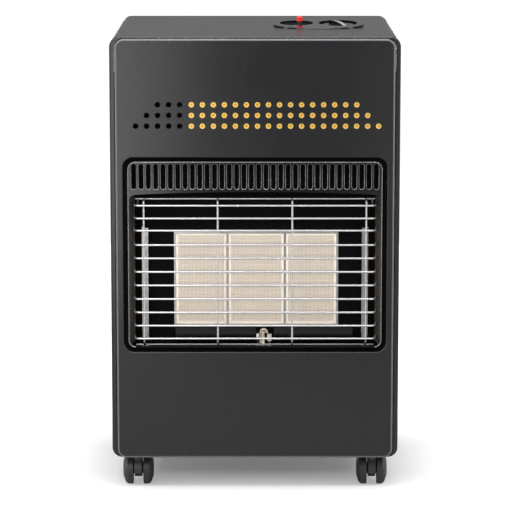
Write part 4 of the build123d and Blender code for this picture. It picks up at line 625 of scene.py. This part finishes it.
# The darker dots are painted shade in the holes.
hole_shade_mask = add(
    tree, "ShaderNodeMapRange", {"From Min": 0.26, "From Max": 0.38, "interpolation_type": "SMOOTHSTEP"},
    {"Value": holes.outputs["Distance"]},
)
ink = add(
    tree, "ShaderNodeMix", {"data_type": "RGBA", 6: linear("#A89A8B"), 7: linear("#DED2C3")},
    {0: hole_shade_mask.outputs["Result"]},
)
tree.links.new(ink.outputs[2], shader.inputs["Base Color"])
bump = add(tree, "ShaderNodeBump", {"Strength": 0.5, "Distance": 0.0006}, {"Height": hole_shade_mask.outputs["Result"]})
tree.links.new(bump.outputs["Normal"], shader.inputs["Normal"])

for side in ("left", "centre", "right"):
    low, high = (Vector(corner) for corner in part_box(f"ceramic_plaque_{side}"))
    place = Matrix.Translation((low + high) / 2) @ Matrix.Diagonal(high - low).to_4x4()
    tile = bmesh.new()
    bmesh.ops.create_cube(tile, size=1, matrix=place)
    bmesh.ops.bevel(
        tile, geom=list(tile.edges), offset=TILE_ROUND, segments=2, profile=0.5, affect="EDGES", material=-1,
    )
    front = min(tile.faces, key=lambda face: face.calc_center_median().y)
    bmesh.ops.inset_region(tile, faces=[front], thickness=TILE_RIM, depth=0.0)
    bmesh.ops.inset_region(tile, faces=[front], thickness=TILE_SLOPE, depth=-TILE_STEP)
    front.material_index = FIELD_FINISH
    piece = finish_piece(tile, f"plaque_{side}", (plaque_rim, plaque_field_hole_shade), "cabinet")
    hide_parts(f"ceramic_plaque_{side}")


# ---------------------------------------------------------------- mixing chambers
# Gas and air mix in a chamber behind each plaque. The three are pressed from aluminised steel, which
# is satin, with patches that the heat has dulled.
SCALE_PATCH = 0.010

aluminised, tree, shader = start_material("aluminised_steel", "#8E8E90", 0.5, Metallic=1.0)
where = add(tree, "ShaderNodeTexCoord").outputs["Object"]
scale = add(tree, "ShaderNodeTexNoise", {"Scale": 1 / SCALE_PATCH, "Detail": 4.0}, {"Vector": where})
tone = add(tree, "ShaderNodeMapRange", {"To Min": 0.38, "To Max": 0.60}, {"Value": scale.outputs["Fac"]})
tree.links.new(tone.outputs["Result"], shader.inputs["Roughness"])
dress(aluminised, "burner_plenum_left", "burner_plenum_centre", "burner_plenum_right")


# ---------------------------------------------------------------- gas tubes, valve and fittings
# Aluminium tubes, drawn and then bent, lead from the valve to the injectors and to the pilot. The
# drawing left them bright in some places and duller in others.
TUBE_MARK = 0.004

aluminium, tree, shader = start_material("drawn_aluminium", "#CFD0D2", 0.32, Metallic=1.0)
where = add(tree, "ShaderNodeTexCoord").outputs["Object"]
draw = add(tree, "ShaderNodeTexNoise", {"Scale": 1 / TUBE_MARK, "Detail": 3.0}, {"Vector": where})
tone = add(tree, "ShaderNodeMapRange", {"To Min": 0.25, "To Max": 0.42}, {"Value": draw.outputs["Fac"]})
tree.links.new(tone.outputs["Result"], shader.inputs["Roughness"])
dress(aluminium, "feed_tube_left", "feed_tube_centre", "feed_tube_right", "pilot_tube")

# The valve's body is die-cast, with the mould's gritty, dull skin.
CASTING_GRIT = 0.0008

die_cast, tree, shader = start_material("die_cast_aluminium", "#A9ABAD", 0.5, Metallic=1.0)
where = add(tree, "ShaderNodeTexCoord").outputs["Object"]
grit = add(tree, "ShaderNodeTexNoise", {"Scale": 1 / CASTING_GRIT, "Detail": 3.0}, {"Vector": where})
bump = add(tree, "ShaderNodeBump", {"Strength": 0.3, "Distance": 0.0002}, {"Height": grit.outputs["Fac"]})
tree.links.new(bump.outputs["Normal"], shader.inputs["Normal"])
dress(die_cast, "gas_valve_body")

# The injectors, the hose nozzle and the valve's spindle are brass with fine turning marks.
TURNING_MARK = 0.0012

brass, tree, shader = start_material("turned_brass", "#D2AE66", 0.28, Metallic=1.0)
where = add(tree, "ShaderNodeTexCoord").outputs["Object"]
turning = add(tree, "ShaderNodeTexWave", {"Scale": 1 / TURNING_MARK, "Distortion": 0.3}, {"Vector": where})
bump = add(tree, "ShaderNodeBump", {"Strength": 0.1, "Distance": 0.0001}, {"Height": turning.outputs["Fac"]})
tree.links.new(bump.outputs["Normal"], shader.inputs["Normal"])
dress(brass, "injectors", "gas_inlet_nozzle", "valve_spindle", "valve_plunger")


# ---------------------------------------------------------------- pilot
# The pilot's group stands on a small plate on the hearth's floor, under the burner. The pilot's own
# tube and hood are steel that the flame has turned a pale straw colour.
STAIN_PATCH = 0.005

pilot_steel, tree, shader = start_material("heat_stained_steel", "#E0D3BC", 0.45)
where = add(tree, "ShaderNodeTexCoord").outputs["Object"]
stain = add(tree, "ShaderNodeTexNoise", {"Scale": 1 / STAIN_PATCH, "Detail": 4.0}, {"Vector": where})
ink = add(
    tree, "ShaderNodeMix", {"data_type": "RGBA", 6: linear("#C2B196"), 7: linear("#F4EBDA")},
    {0: stain.outputs["Fac"]},
)
tree.links.new(ink.outputs[2], shader.inputs["Base Color"])
dress(pilot_steel, "pilot_burner")

# The flame sensor: a nickel-plated head on a tarnished copper lead. The head is what lies above
# SENSOR_FOOT and in front of SENSOR_BACK_Y.
SENSOR_FOOT = 0.2275
SENSOR_BACK_Y = FACE_Y + 0.056
TARNISH_PATCH = 0.008

copper, tree, shader = start_material("copper_lead_nickel_head", "#B4714D", 0.35)
where = add(tree, "ShaderNodeTexCoord").outputs["Object"]
tarnish = add(tree, "ShaderNodeTexNoise", {"Scale": 1 / TARNISH_PATCH, "Detail": 4.0}, {"Vector": where})
ink = add(
    tree, "ShaderNodeMix", {"data_type": "RGBA", 6: linear("#B4714D"), 7: linear("#7E4B36")},
    {0: tarnish.outputs["Fac"]},
)
axes = add(tree, "ShaderNodeSeparateXYZ", None, {"Vector": where})
lifted = add(tree, "ShaderNodeMath", {"operation": "GREATER_THAN", 1: SENSOR_FOOT}, {0: axes.outputs["Z"]})
forward = add(tree, "ShaderNodeMath", {"operation": "LESS_THAN", 1: SENSOR_BACK_Y}, {0: axes.outputs["Y"]})
head = add(
    tree, "ShaderNodeMath", {"operation": "MULTIPLY"},
    {0: lifted.outputs["Value"], 1: forward.outputs["Value"]},
)
plated = add(
    tree, "ShaderNodeMix", {"data_type": "RGBA", 7: linear("#EFEDE8")},
    {0: head.outputs["Value"], 6: ink.outputs[2]},
)
tree.links.new(plated.outputs[2], shader.inputs["Base Color"])
gleam = add(tree, "ShaderNodeMapRange", {"To Min": 1.0, "To Max": 0.15}, {"Value": head.outputs["Value"]})
tree.links.new(gleam.outputs["Result"], shader.inputs["Metallic"])
dress(copper, "thermocouple")

# The spark electrode is a dark steel rod in a white glazed sleeve.
SLEEVE_LOW = 0.2334
SLEEVE_HIGH = 0.2401
CRAZING = 0.002

glazed, tree, shader = start_material("glazed_sleeve_on_steel_rod", "#F4F2EC", 0.18)
where = add(tree, "ShaderNodeTexCoord").outputs["Object"]
height = add(tree, "ShaderNodeSeparateXYZ", None, {"Vector": where}).outputs["Z"]
over = add(tree, "ShaderNodeMath", {"operation": "GREATER_THAN", 1: SLEEVE_LOW}, {0: height})
under = add(tree, "ShaderNodeMath", {"operation": "LESS_THAN", 1: SLEEVE_HIGH}, {0: height})
sleeve = add(
    tree, "ShaderNodeMath", {"operation": "MULTIPLY"}, {0: over.outputs["Value"], 1: under.outputs["Value"]},
)
ink = add(
    tree, "ShaderNodeMix", {"data_type": "RGBA", 6: linear("#3A3836"), 7: linear("#F4F2EC")},
    {0: sleeve.outputs["Value"]},
)
tree.links.new(ink.outputs[2], shader.inputs["Base Color"])
craze = add(tree, "ShaderNodeTexNoise", {"Scale": 1 / CRAZING, "Detail": 2.0}, {"Vector": where})
bump = add(tree, "ShaderNodeBump", {"Strength": 0.08, "Distance": 0.0002}, {"Height": craze.outputs["Fac"]})
tree.links.new(bump.outputs["Normal"], shader.inputs["Normal"])
dress(glazed, "spark_electrode")

# Its lead has a red silicone sleeve, dull with dust.
DUST_GRAIN = 0.002

silicone, tree, shader = start_material("silicone_sleeve", "#A23A2B", 0.55)
where = add(tree, "ShaderNodeTexCoord").outputs["Object"]
dust = add(tree, "ShaderNodeTexNoise", {"Scale": 1 / DUST_GRAIN, "Detail": 3.0}, {"Vector": where})
bump = add(tree, "ShaderNodeBump", {"Strength": 0.1, "Distance": 0.0002}, {"Height": dust.outputs["Fac"]})
tree.links.new(bump.outputs["Normal"], shader.inputs["Normal"])
dress(silicone, "spark_lead")


# ---------------------------------------------------------------- control panel
# The oval plate in the top that holds the knob and the igniter's button: injection-moulded ABS with
# a deep gloss from a polished mould, a little smeared by hands.
CONTROL_PLACE = Vector((0.100, -0.0155, 0.70887))
CONTROL_TILT = math.radians(4)
SMEAR = 0.012

gloss_black, tree, shader = start_material("glossy_black_abs", "#09090A", 0.16)
where = add(tree, "ShaderNodeTexCoord").outputs["Object"]
smear = add(tree, "ShaderNodeTexNoise", {"Scale": 1 / SMEAR, "Detail": 3.0}, {"Vector": where})
tone = add(tree, "ShaderNodeMapRange", {"To Min": 0.12, "To Max": 0.22}, {"Value": smear.outputs["Fac"]})
tree.links.new(tone.outputs["Result"], shader.inputs["Roughness"])
dress(gloss_black, "control_panel")

# The two wells have a fine spark-eroded grain from the mould and a near-black, barely reflective skin
# just over each well's wall and floor: painted shade that keeps them black. A well's sizes are its
# place along the panel, its radius and depth, and the radius of the bore in its floor.
WELLS = {
    "button_well_painted_shade": (-0.0347, 0.0265, 0.0036, 0.0052),
    "knob_well_painted_shade": (0.0307, 0.0305, 0.0095, 0.0050),
}
WELL_Y = 0.006
WELL_LIP = 0.0004
SCOOP_SHARE = 0.4
WELL_STEPS = 48
SKIN_GAP = 0.00012
SPARK_GRAIN = 0.0005

well_shade_black, tree, shader = start_material("black_abs_painted_well_shade", "#050506", 0.75, Specular_IOR_Level=0.08)
where = add(tree, "ShaderNodeTexCoord").outputs["Object"]
spark = add(tree, "ShaderNodeTexNoise", {"Scale": 1 / SPARK_GRAIN, "Detail": 2.0}, {"Vector": where})
bump = add(tree, "ShaderNodeBump", {"Strength": 0.2, "Distance": 0.0001}, {"Height": spark.outputs["Fac"]})
tree.links.new(bump.outputs["Normal"], shader.inputs["Normal"])

control_face = Matrix.Translation(CONTROL_PLACE) @ Matrix.Rotation(CONTROL_TILT, 4, "X")
for name, (x, radius, depth, bore) in WELLS.items():
    scoop = SCOOP_SHARE * depth
    profile = [(bore, -depth)]
    for turn in QUARTER_ROUND:
        profile.append((radius - scoop * (1 - math.sin(turn)), -depth + scoop * (1 - math.cos(turn))))
    profile.append((radius, -WELL_LIP))
    well = bmesh.new()
    verts = [well.verts.new((reach - SKIN_GAP, 0, level + SKIN_GAP)) for reach, level in profile]
    edges = [well.edges.new(pair) for pair in zip(verts, verts[1:])]
    bmesh.ops.spin(
        well, geom=verts + edges, cent=(0, 0, 0), axis=(0, 0, 1), angle=2 * math.pi, steps=WELL_STEPS,
        use_merge=True,
    )
    bmesh.ops.transform(well, matrix=control_face @ Matrix.Translation((x, WELL_Y, 0)), verts=well.verts)
    finish_piece(well, name, (well_shade_black,), "cabinet")


# ---------------------------------------------------------------- knob and igniter button
# The knob is glossy black ABS with a grey stripe along its grip's crest, a painted highlight, drawn on
# coordinates that lie along the grip.
KNOB_PLACE = (0.1307, -0.009515, 0.70929)
GRIP_TURN = math.radians(32)
CREST_HALF_WIDTH = 0.0030
SKIRT_TOP = -0.0020
KNOB_TEXTURE_GRAIN = 0.0006

knob_crest_highlight_abs, tree, shader = start_material("black_abs_with_painted_crest_highlight", "#0B0B0C", 0.16)
where = add(tree, "ShaderNodeTexCoord").outputs["Object"]
level = add(
    tree, "ShaderNodeMapping",
    {"vector_type": "TEXTURE", "Location": KNOB_PLACE, "Rotation": (CONTROL_TILT, 0, 0)}, {"Vector": where},
)
along = add(
    tree, "ShaderNodeMapping", {"vector_type": "TEXTURE", "Rotation": (0, 0, GRIP_TURN)},
    {"Vector": level.outputs["Vector"]},
)
axes = add(tree, "ShaderNodeSeparateXYZ", None, {"Vector": along.outputs["Vector"]})
side = add(tree, "ShaderNodeMath", {"operation": "ABSOLUTE"}, {0: axes.outputs["X"]})
near = add(
    tree, "ShaderNodeMath", {"operation": "LESS_THAN", 1: CREST_HALF_WIDTH}, {0: side.outputs["Value"]},
)
high = add(tree, "ShaderNodeMath", {"operation": "GREATER_THAN", 1: SKIRT_TOP}, {0: axes.outputs["Z"]})
crest = add(
    tree, "ShaderNodeMath", {"operation": "MULTIPLY"}, {0: near.outputs["Value"], 1: high.outputs["Value"]},
)
ink = add(
    tree, "ShaderNodeMix", {"data_type": "RGBA", 6: linear("#0B0B0C"), 7: linear("#8E8E90")},
    {0: crest.outputs["Value"]},
)
tree.links.new(ink.outputs[2], shader.inputs["Base Color"])
flake = add(tree, "ShaderNodeTexNoise", {"Scale": 1 / KNOB_TEXTURE_GRAIN, "Detail": 2.0}, {"Vector": where})
bump = add(tree, "ShaderNodeBump", {"Strength": 0.05, "Distance": 0.0001}, {"Height": flake.outputs["Fac"]})
tree.links.new(bump.outputs["Normal"], shader.inputs["Normal"])
dress(knob_crest_highlight_abs, "control_knob")

# The igniter's button is glossy red ABS.
BUTTON_SMEAR = 0.003

red_abs, tree, shader = start_material("glossy_red_abs", "#E8261E", 0.20)
where = add(tree, "ShaderNodeTexCoord").outputs["Object"]
smear = add(tree, "ShaderNodeTexNoise", {"Scale": 1 / BUTTON_SMEAR, "Detail": 2.0}, {"Vector": where})
tone = add(tree, "ShaderNodeMapRange", {"To Min": 0.15, "To Max": 0.28}, {"Value": smear.outputs["Fac"]})
tree.links.new(tone.outputs["Result"], shader.inputs["Roughness"])
dress(red_abs, "igniter_button")


# ---------------------------------------------------------------- castors and black mouldings
# Four twin-wheel castors, their sockets and the igniter's body: black nylon, moulded with a fine
# spark-eroded grain that leaves a soft sheen. The castors' axles are zinc-plated pins.
CORNERS = ("front_left", "front_right", "rear_left", "rear_right")
NYLON_GRAIN = 0.0009

black_nylon, tree, shader = start_material("black_moulded_nylon", "#29292B", 0.42)
where = add(tree, "ShaderNodeTexCoord").outputs["Object"]
spark = add(tree, "ShaderNodeTexNoise", {"Scale": 1 / NYLON_GRAIN, "Detail": 2.0}, {"Vector": where})
bump = add(tree, "ShaderNodeBump", {"Strength": 0.12, "Distance": 0.0002}, {"Height": spark.outputs["Fac"]})
tree.links.new(bump.outputs["Normal"], shader.inputs["Normal"])
dress(black_nylon, "piezo_igniter", "igniter_plunger", "castor_sockets")
for corner in CORNERS:
    dress(black_nylon, f"castor_{corner}_hood", f"castor_{corner}_wheel_left", f"castor_{corner}_wheel_right")
    dress(zinc, f"castor_{corner}_axle")


# ---------------------------------------------------------------- surroundings
# The world is white to the camera and through glass, and it lights the cabinet only weakly. What
# the cabinet mirrors of it is darkest in front, lighter behind and lightest above, as in a studio
# with dark screens, so that the black coat stays black.
WORLD_DIFFUSE = 0.28
WORLD_LEVEL_FRONT = 0.18
WORLD_LEVEL_REAR = 0.34
WORLD_ABOVE = 0.80
WHITE = (1, 1, 1, 1)

world = bpy.data.worlds.new("studio")
bpy.context.scene.world = world
world.use_nodes = True
tree = world.node_tree
background = tree.nodes["Background"]
background.inputs["Color"].default_value = WHITE
path = add(tree, "ShaderNodeLightPath")
where = add(tree, "ShaderNodeTexCoord").outputs["Generated"]
axes = add(tree, "ShaderNodeSeparateXYZ", None, {"Vector": where})
horizon = add(
    tree, "ShaderNodeMapRange",
    {
        "From Min": -0.3, "From Max": 0.3, "To Min": WORLD_LEVEL_FRONT, "To Max": WORLD_LEVEL_REAR,
        "interpolation_type": "SMOOTHSTEP",
    },
    {"Value": axes.outputs["Y"]},
)
mirrored = add(
    tree, "ShaderNodeMapRange",
    {"From Min": 0.15, "From Max": 0.7, "To Max": WORLD_ABOVE, "interpolation_type": "SMOOTHSTEP"},
    {"Value": axes.outputs["Z"], "To Min": horizon.outputs["Result"]},
)
level = add(
    tree, "ShaderNodeMix", {"data_type": "FLOAT", 2: WORLD_DIFFUSE},
    {0: path.outputs["Is Glossy Ray"], 3: mirrored.outputs["Result"]},
)
seen = add(
    tree, "ShaderNodeMath", {"operation": "MAXIMUM"},
    {0: path.outputs["Is Camera Ray"], 1: path.outputs["Is Transmission Ray"]},
)
strength = add(
    tree, "ShaderNodeMix", {"data_type": "FLOAT", 3: 1.0}, {0: seen.outputs["Value"], 2: level.outputs[0]},
)
tree.links.new(strength.outputs[0], background.inputs["Strength"])


# ---------------------------------------------------------------- floor
# A plain pale floor. Its glow to the camera is least round the cabinet's footprint and grows away from it,
# so it meets the white surroundings; the dim glow there is a painted shadow over the floor's own shading.
FOOTPRINT_HALF = {"X": 0.145, "Y": 0.065}
SHADOW_EDGE = 0.28
SHADOW_LIFT = 0.10
FLOOR_GLOW = 0.90
FLOOR_HALF = 30

floor_finish, tree, shader = start_material("pale_studio_floor_painted_shadow", "#BDBDBD", 0.9)
output = tree.nodes["Material Output"]
where = add(tree, "ShaderNodeTexCoord").outputs["Object"]
axes = add(tree, "ShaderNodeSeparateXYZ", None, {"Vector": where})
outside = {}
for axis, half in FOOTPRINT_HALF.items():
    along = add(tree, "ShaderNodeMath", {"operation": "ABSOLUTE"}, {0: axes.outputs[axis]})
    beyond = add(
        tree, "ShaderNodeMath", {"operation": "SUBTRACT", 1: half, "use_clamp": True},
        {0: along.outputs["Value"]},
    )
    outside[axis] = beyond.outputs["Value"]
apart = add(tree, "ShaderNodeCombineXYZ", None, outside)
distance = add(tree, "ShaderNodeVectorMath", {"operation": "LENGTH"}, {0: apart.outputs["Vector"]})
painted_shadow_fade = add(
    tree, "ShaderNodeMapRange", {"From Max": SHADOW_EDGE, "To Min": SHADOW_LIFT, "To Max": FLOOR_GLOW},
    {"Value": distance.outputs["Value"]},
)
path = add(tree, "ShaderNodeLightPath")
lift = add(
    tree, "ShaderNodeMath", {"operation": "MULTIPLY"},
    {0: path.outputs["Is Camera Ray"], 1: painted_shadow_fade.outputs["Result"]},
)
glow = add(tree, "ShaderNodeEmission", {"Color": WHITE}, {"Strength": lift.outputs["Value"]})
both = add(tree, "ShaderNodeAddShader", None, {0: shader.outputs["BSDF"], 1: glow.outputs["Emission"]})
tree.links.new(both.outputs["Shader"], output.inputs["Surface"])

floor_sheet = bmesh.new()
bmesh.ops.create_grid(floor_sheet, x_segments=1, y_segments=1, size=FLOOR_HALF)
floor_mesh = bpy.data.meshes.new("studio_floor")
floor_sheet.to_mesh(floor_mesh)
floor_sheet.free()
floor_mesh.materials.append(floor_finish)
floor = bpy.data.objects.new("studio_floor", floor_mesh)
bpy.context.scene.collection.objects.link(floor)


# ---------------------------------------------------------------- lamps and camera
# Soft light from both sides, from above, from high in front and from low behind. The first two
# boxes are what the front panel mirrors: a bright one on the left, a faint one on the right.
def softbox(name, place, target, width, height, watts):
    """A rectangular area lamp that is aimed at a point and hidden from the camera."""
    lamp = bpy.data.lights.new(name, "AREA")
    lamp.shape = "RECTANGLE"
    lamp.size = width
    lamp.size_y = height
    lamp.energy = watts
    holder = bpy.data.objects.new(name, lamp)
    holder.location = place
    holder.rotation_euler = (Vector(target) - Vector(place)).to_track_quat("-Z", "Y").to_euler()
    holder.visible_camera = False
    bpy.context.scene.collection.objects.link(holder)


softbox("left_softbox", (-0.42, -1.15, 0.66), (-0.30, -0.21, 0.54), 0.50, 1.05, 5.2)
softbox("right_softbox", (0.50, -1.15, 0.55), (0.35, -0.21, 0.45), 0.50, 0.80, 1.1)
softbox("left_side_box", (-1.6, -0.45, 0.80), (0, -0.25, 0.40), 0.40, 1.4, 12)
softbox("right_side_box", (1.6, -0.45, 0.80), (0, -0.25, 0.40), 0.40, 1.4, 11)
softbox("left_key", (-1.25, -1.50, 1.90), (0, -0.2, 0.4), 0.22, 0.22, 9)
softbox("right_key", (1.35, -1.40, 1.80), (0, -0.2, 0.4), 0.22, 0.22, 9)
softbox("front_strip", (0.0, -1.90, 2.30), (0, -0.2, 0.3), 2.2, 0.25, 30)
softbox("top_softbox", (0.0, -0.10, 2.3), (0, -0.05, 0.5), 1.2, 1.2, 23)
softbox("back_softbox", (0.0, 2.20, 0.36), (0, 0.21, 0.36), 1.4, 0.6, 14)

# A long lens, straight in front and a little above the cabinet's top. Sensor and lens are in
# millimetres.
CAMERA_PLACE = (0, -4.208, 1.0364)
CAMERA_TILT = math.radians(80.56)
SENSOR_WIDTH = 36
FOCAL_LENGTH = 187.87

camera = bpy.data.cameras.new("camera")
camera.sensor_width = SENSOR_WIDTH
camera.lens = FOCAL_LENGTH
viewer = bpy.data.objects.new("camera", camera)
viewer.location = CAMERA_PLACE
viewer.rotation_euler = (CAMERA_TILT, 0, 0)
bpy.context.scene.collection.objects.link(viewer)
bpy.context.scene.camera = viewer
bpy.context.scene.view_settings.view_transform = "Standard"
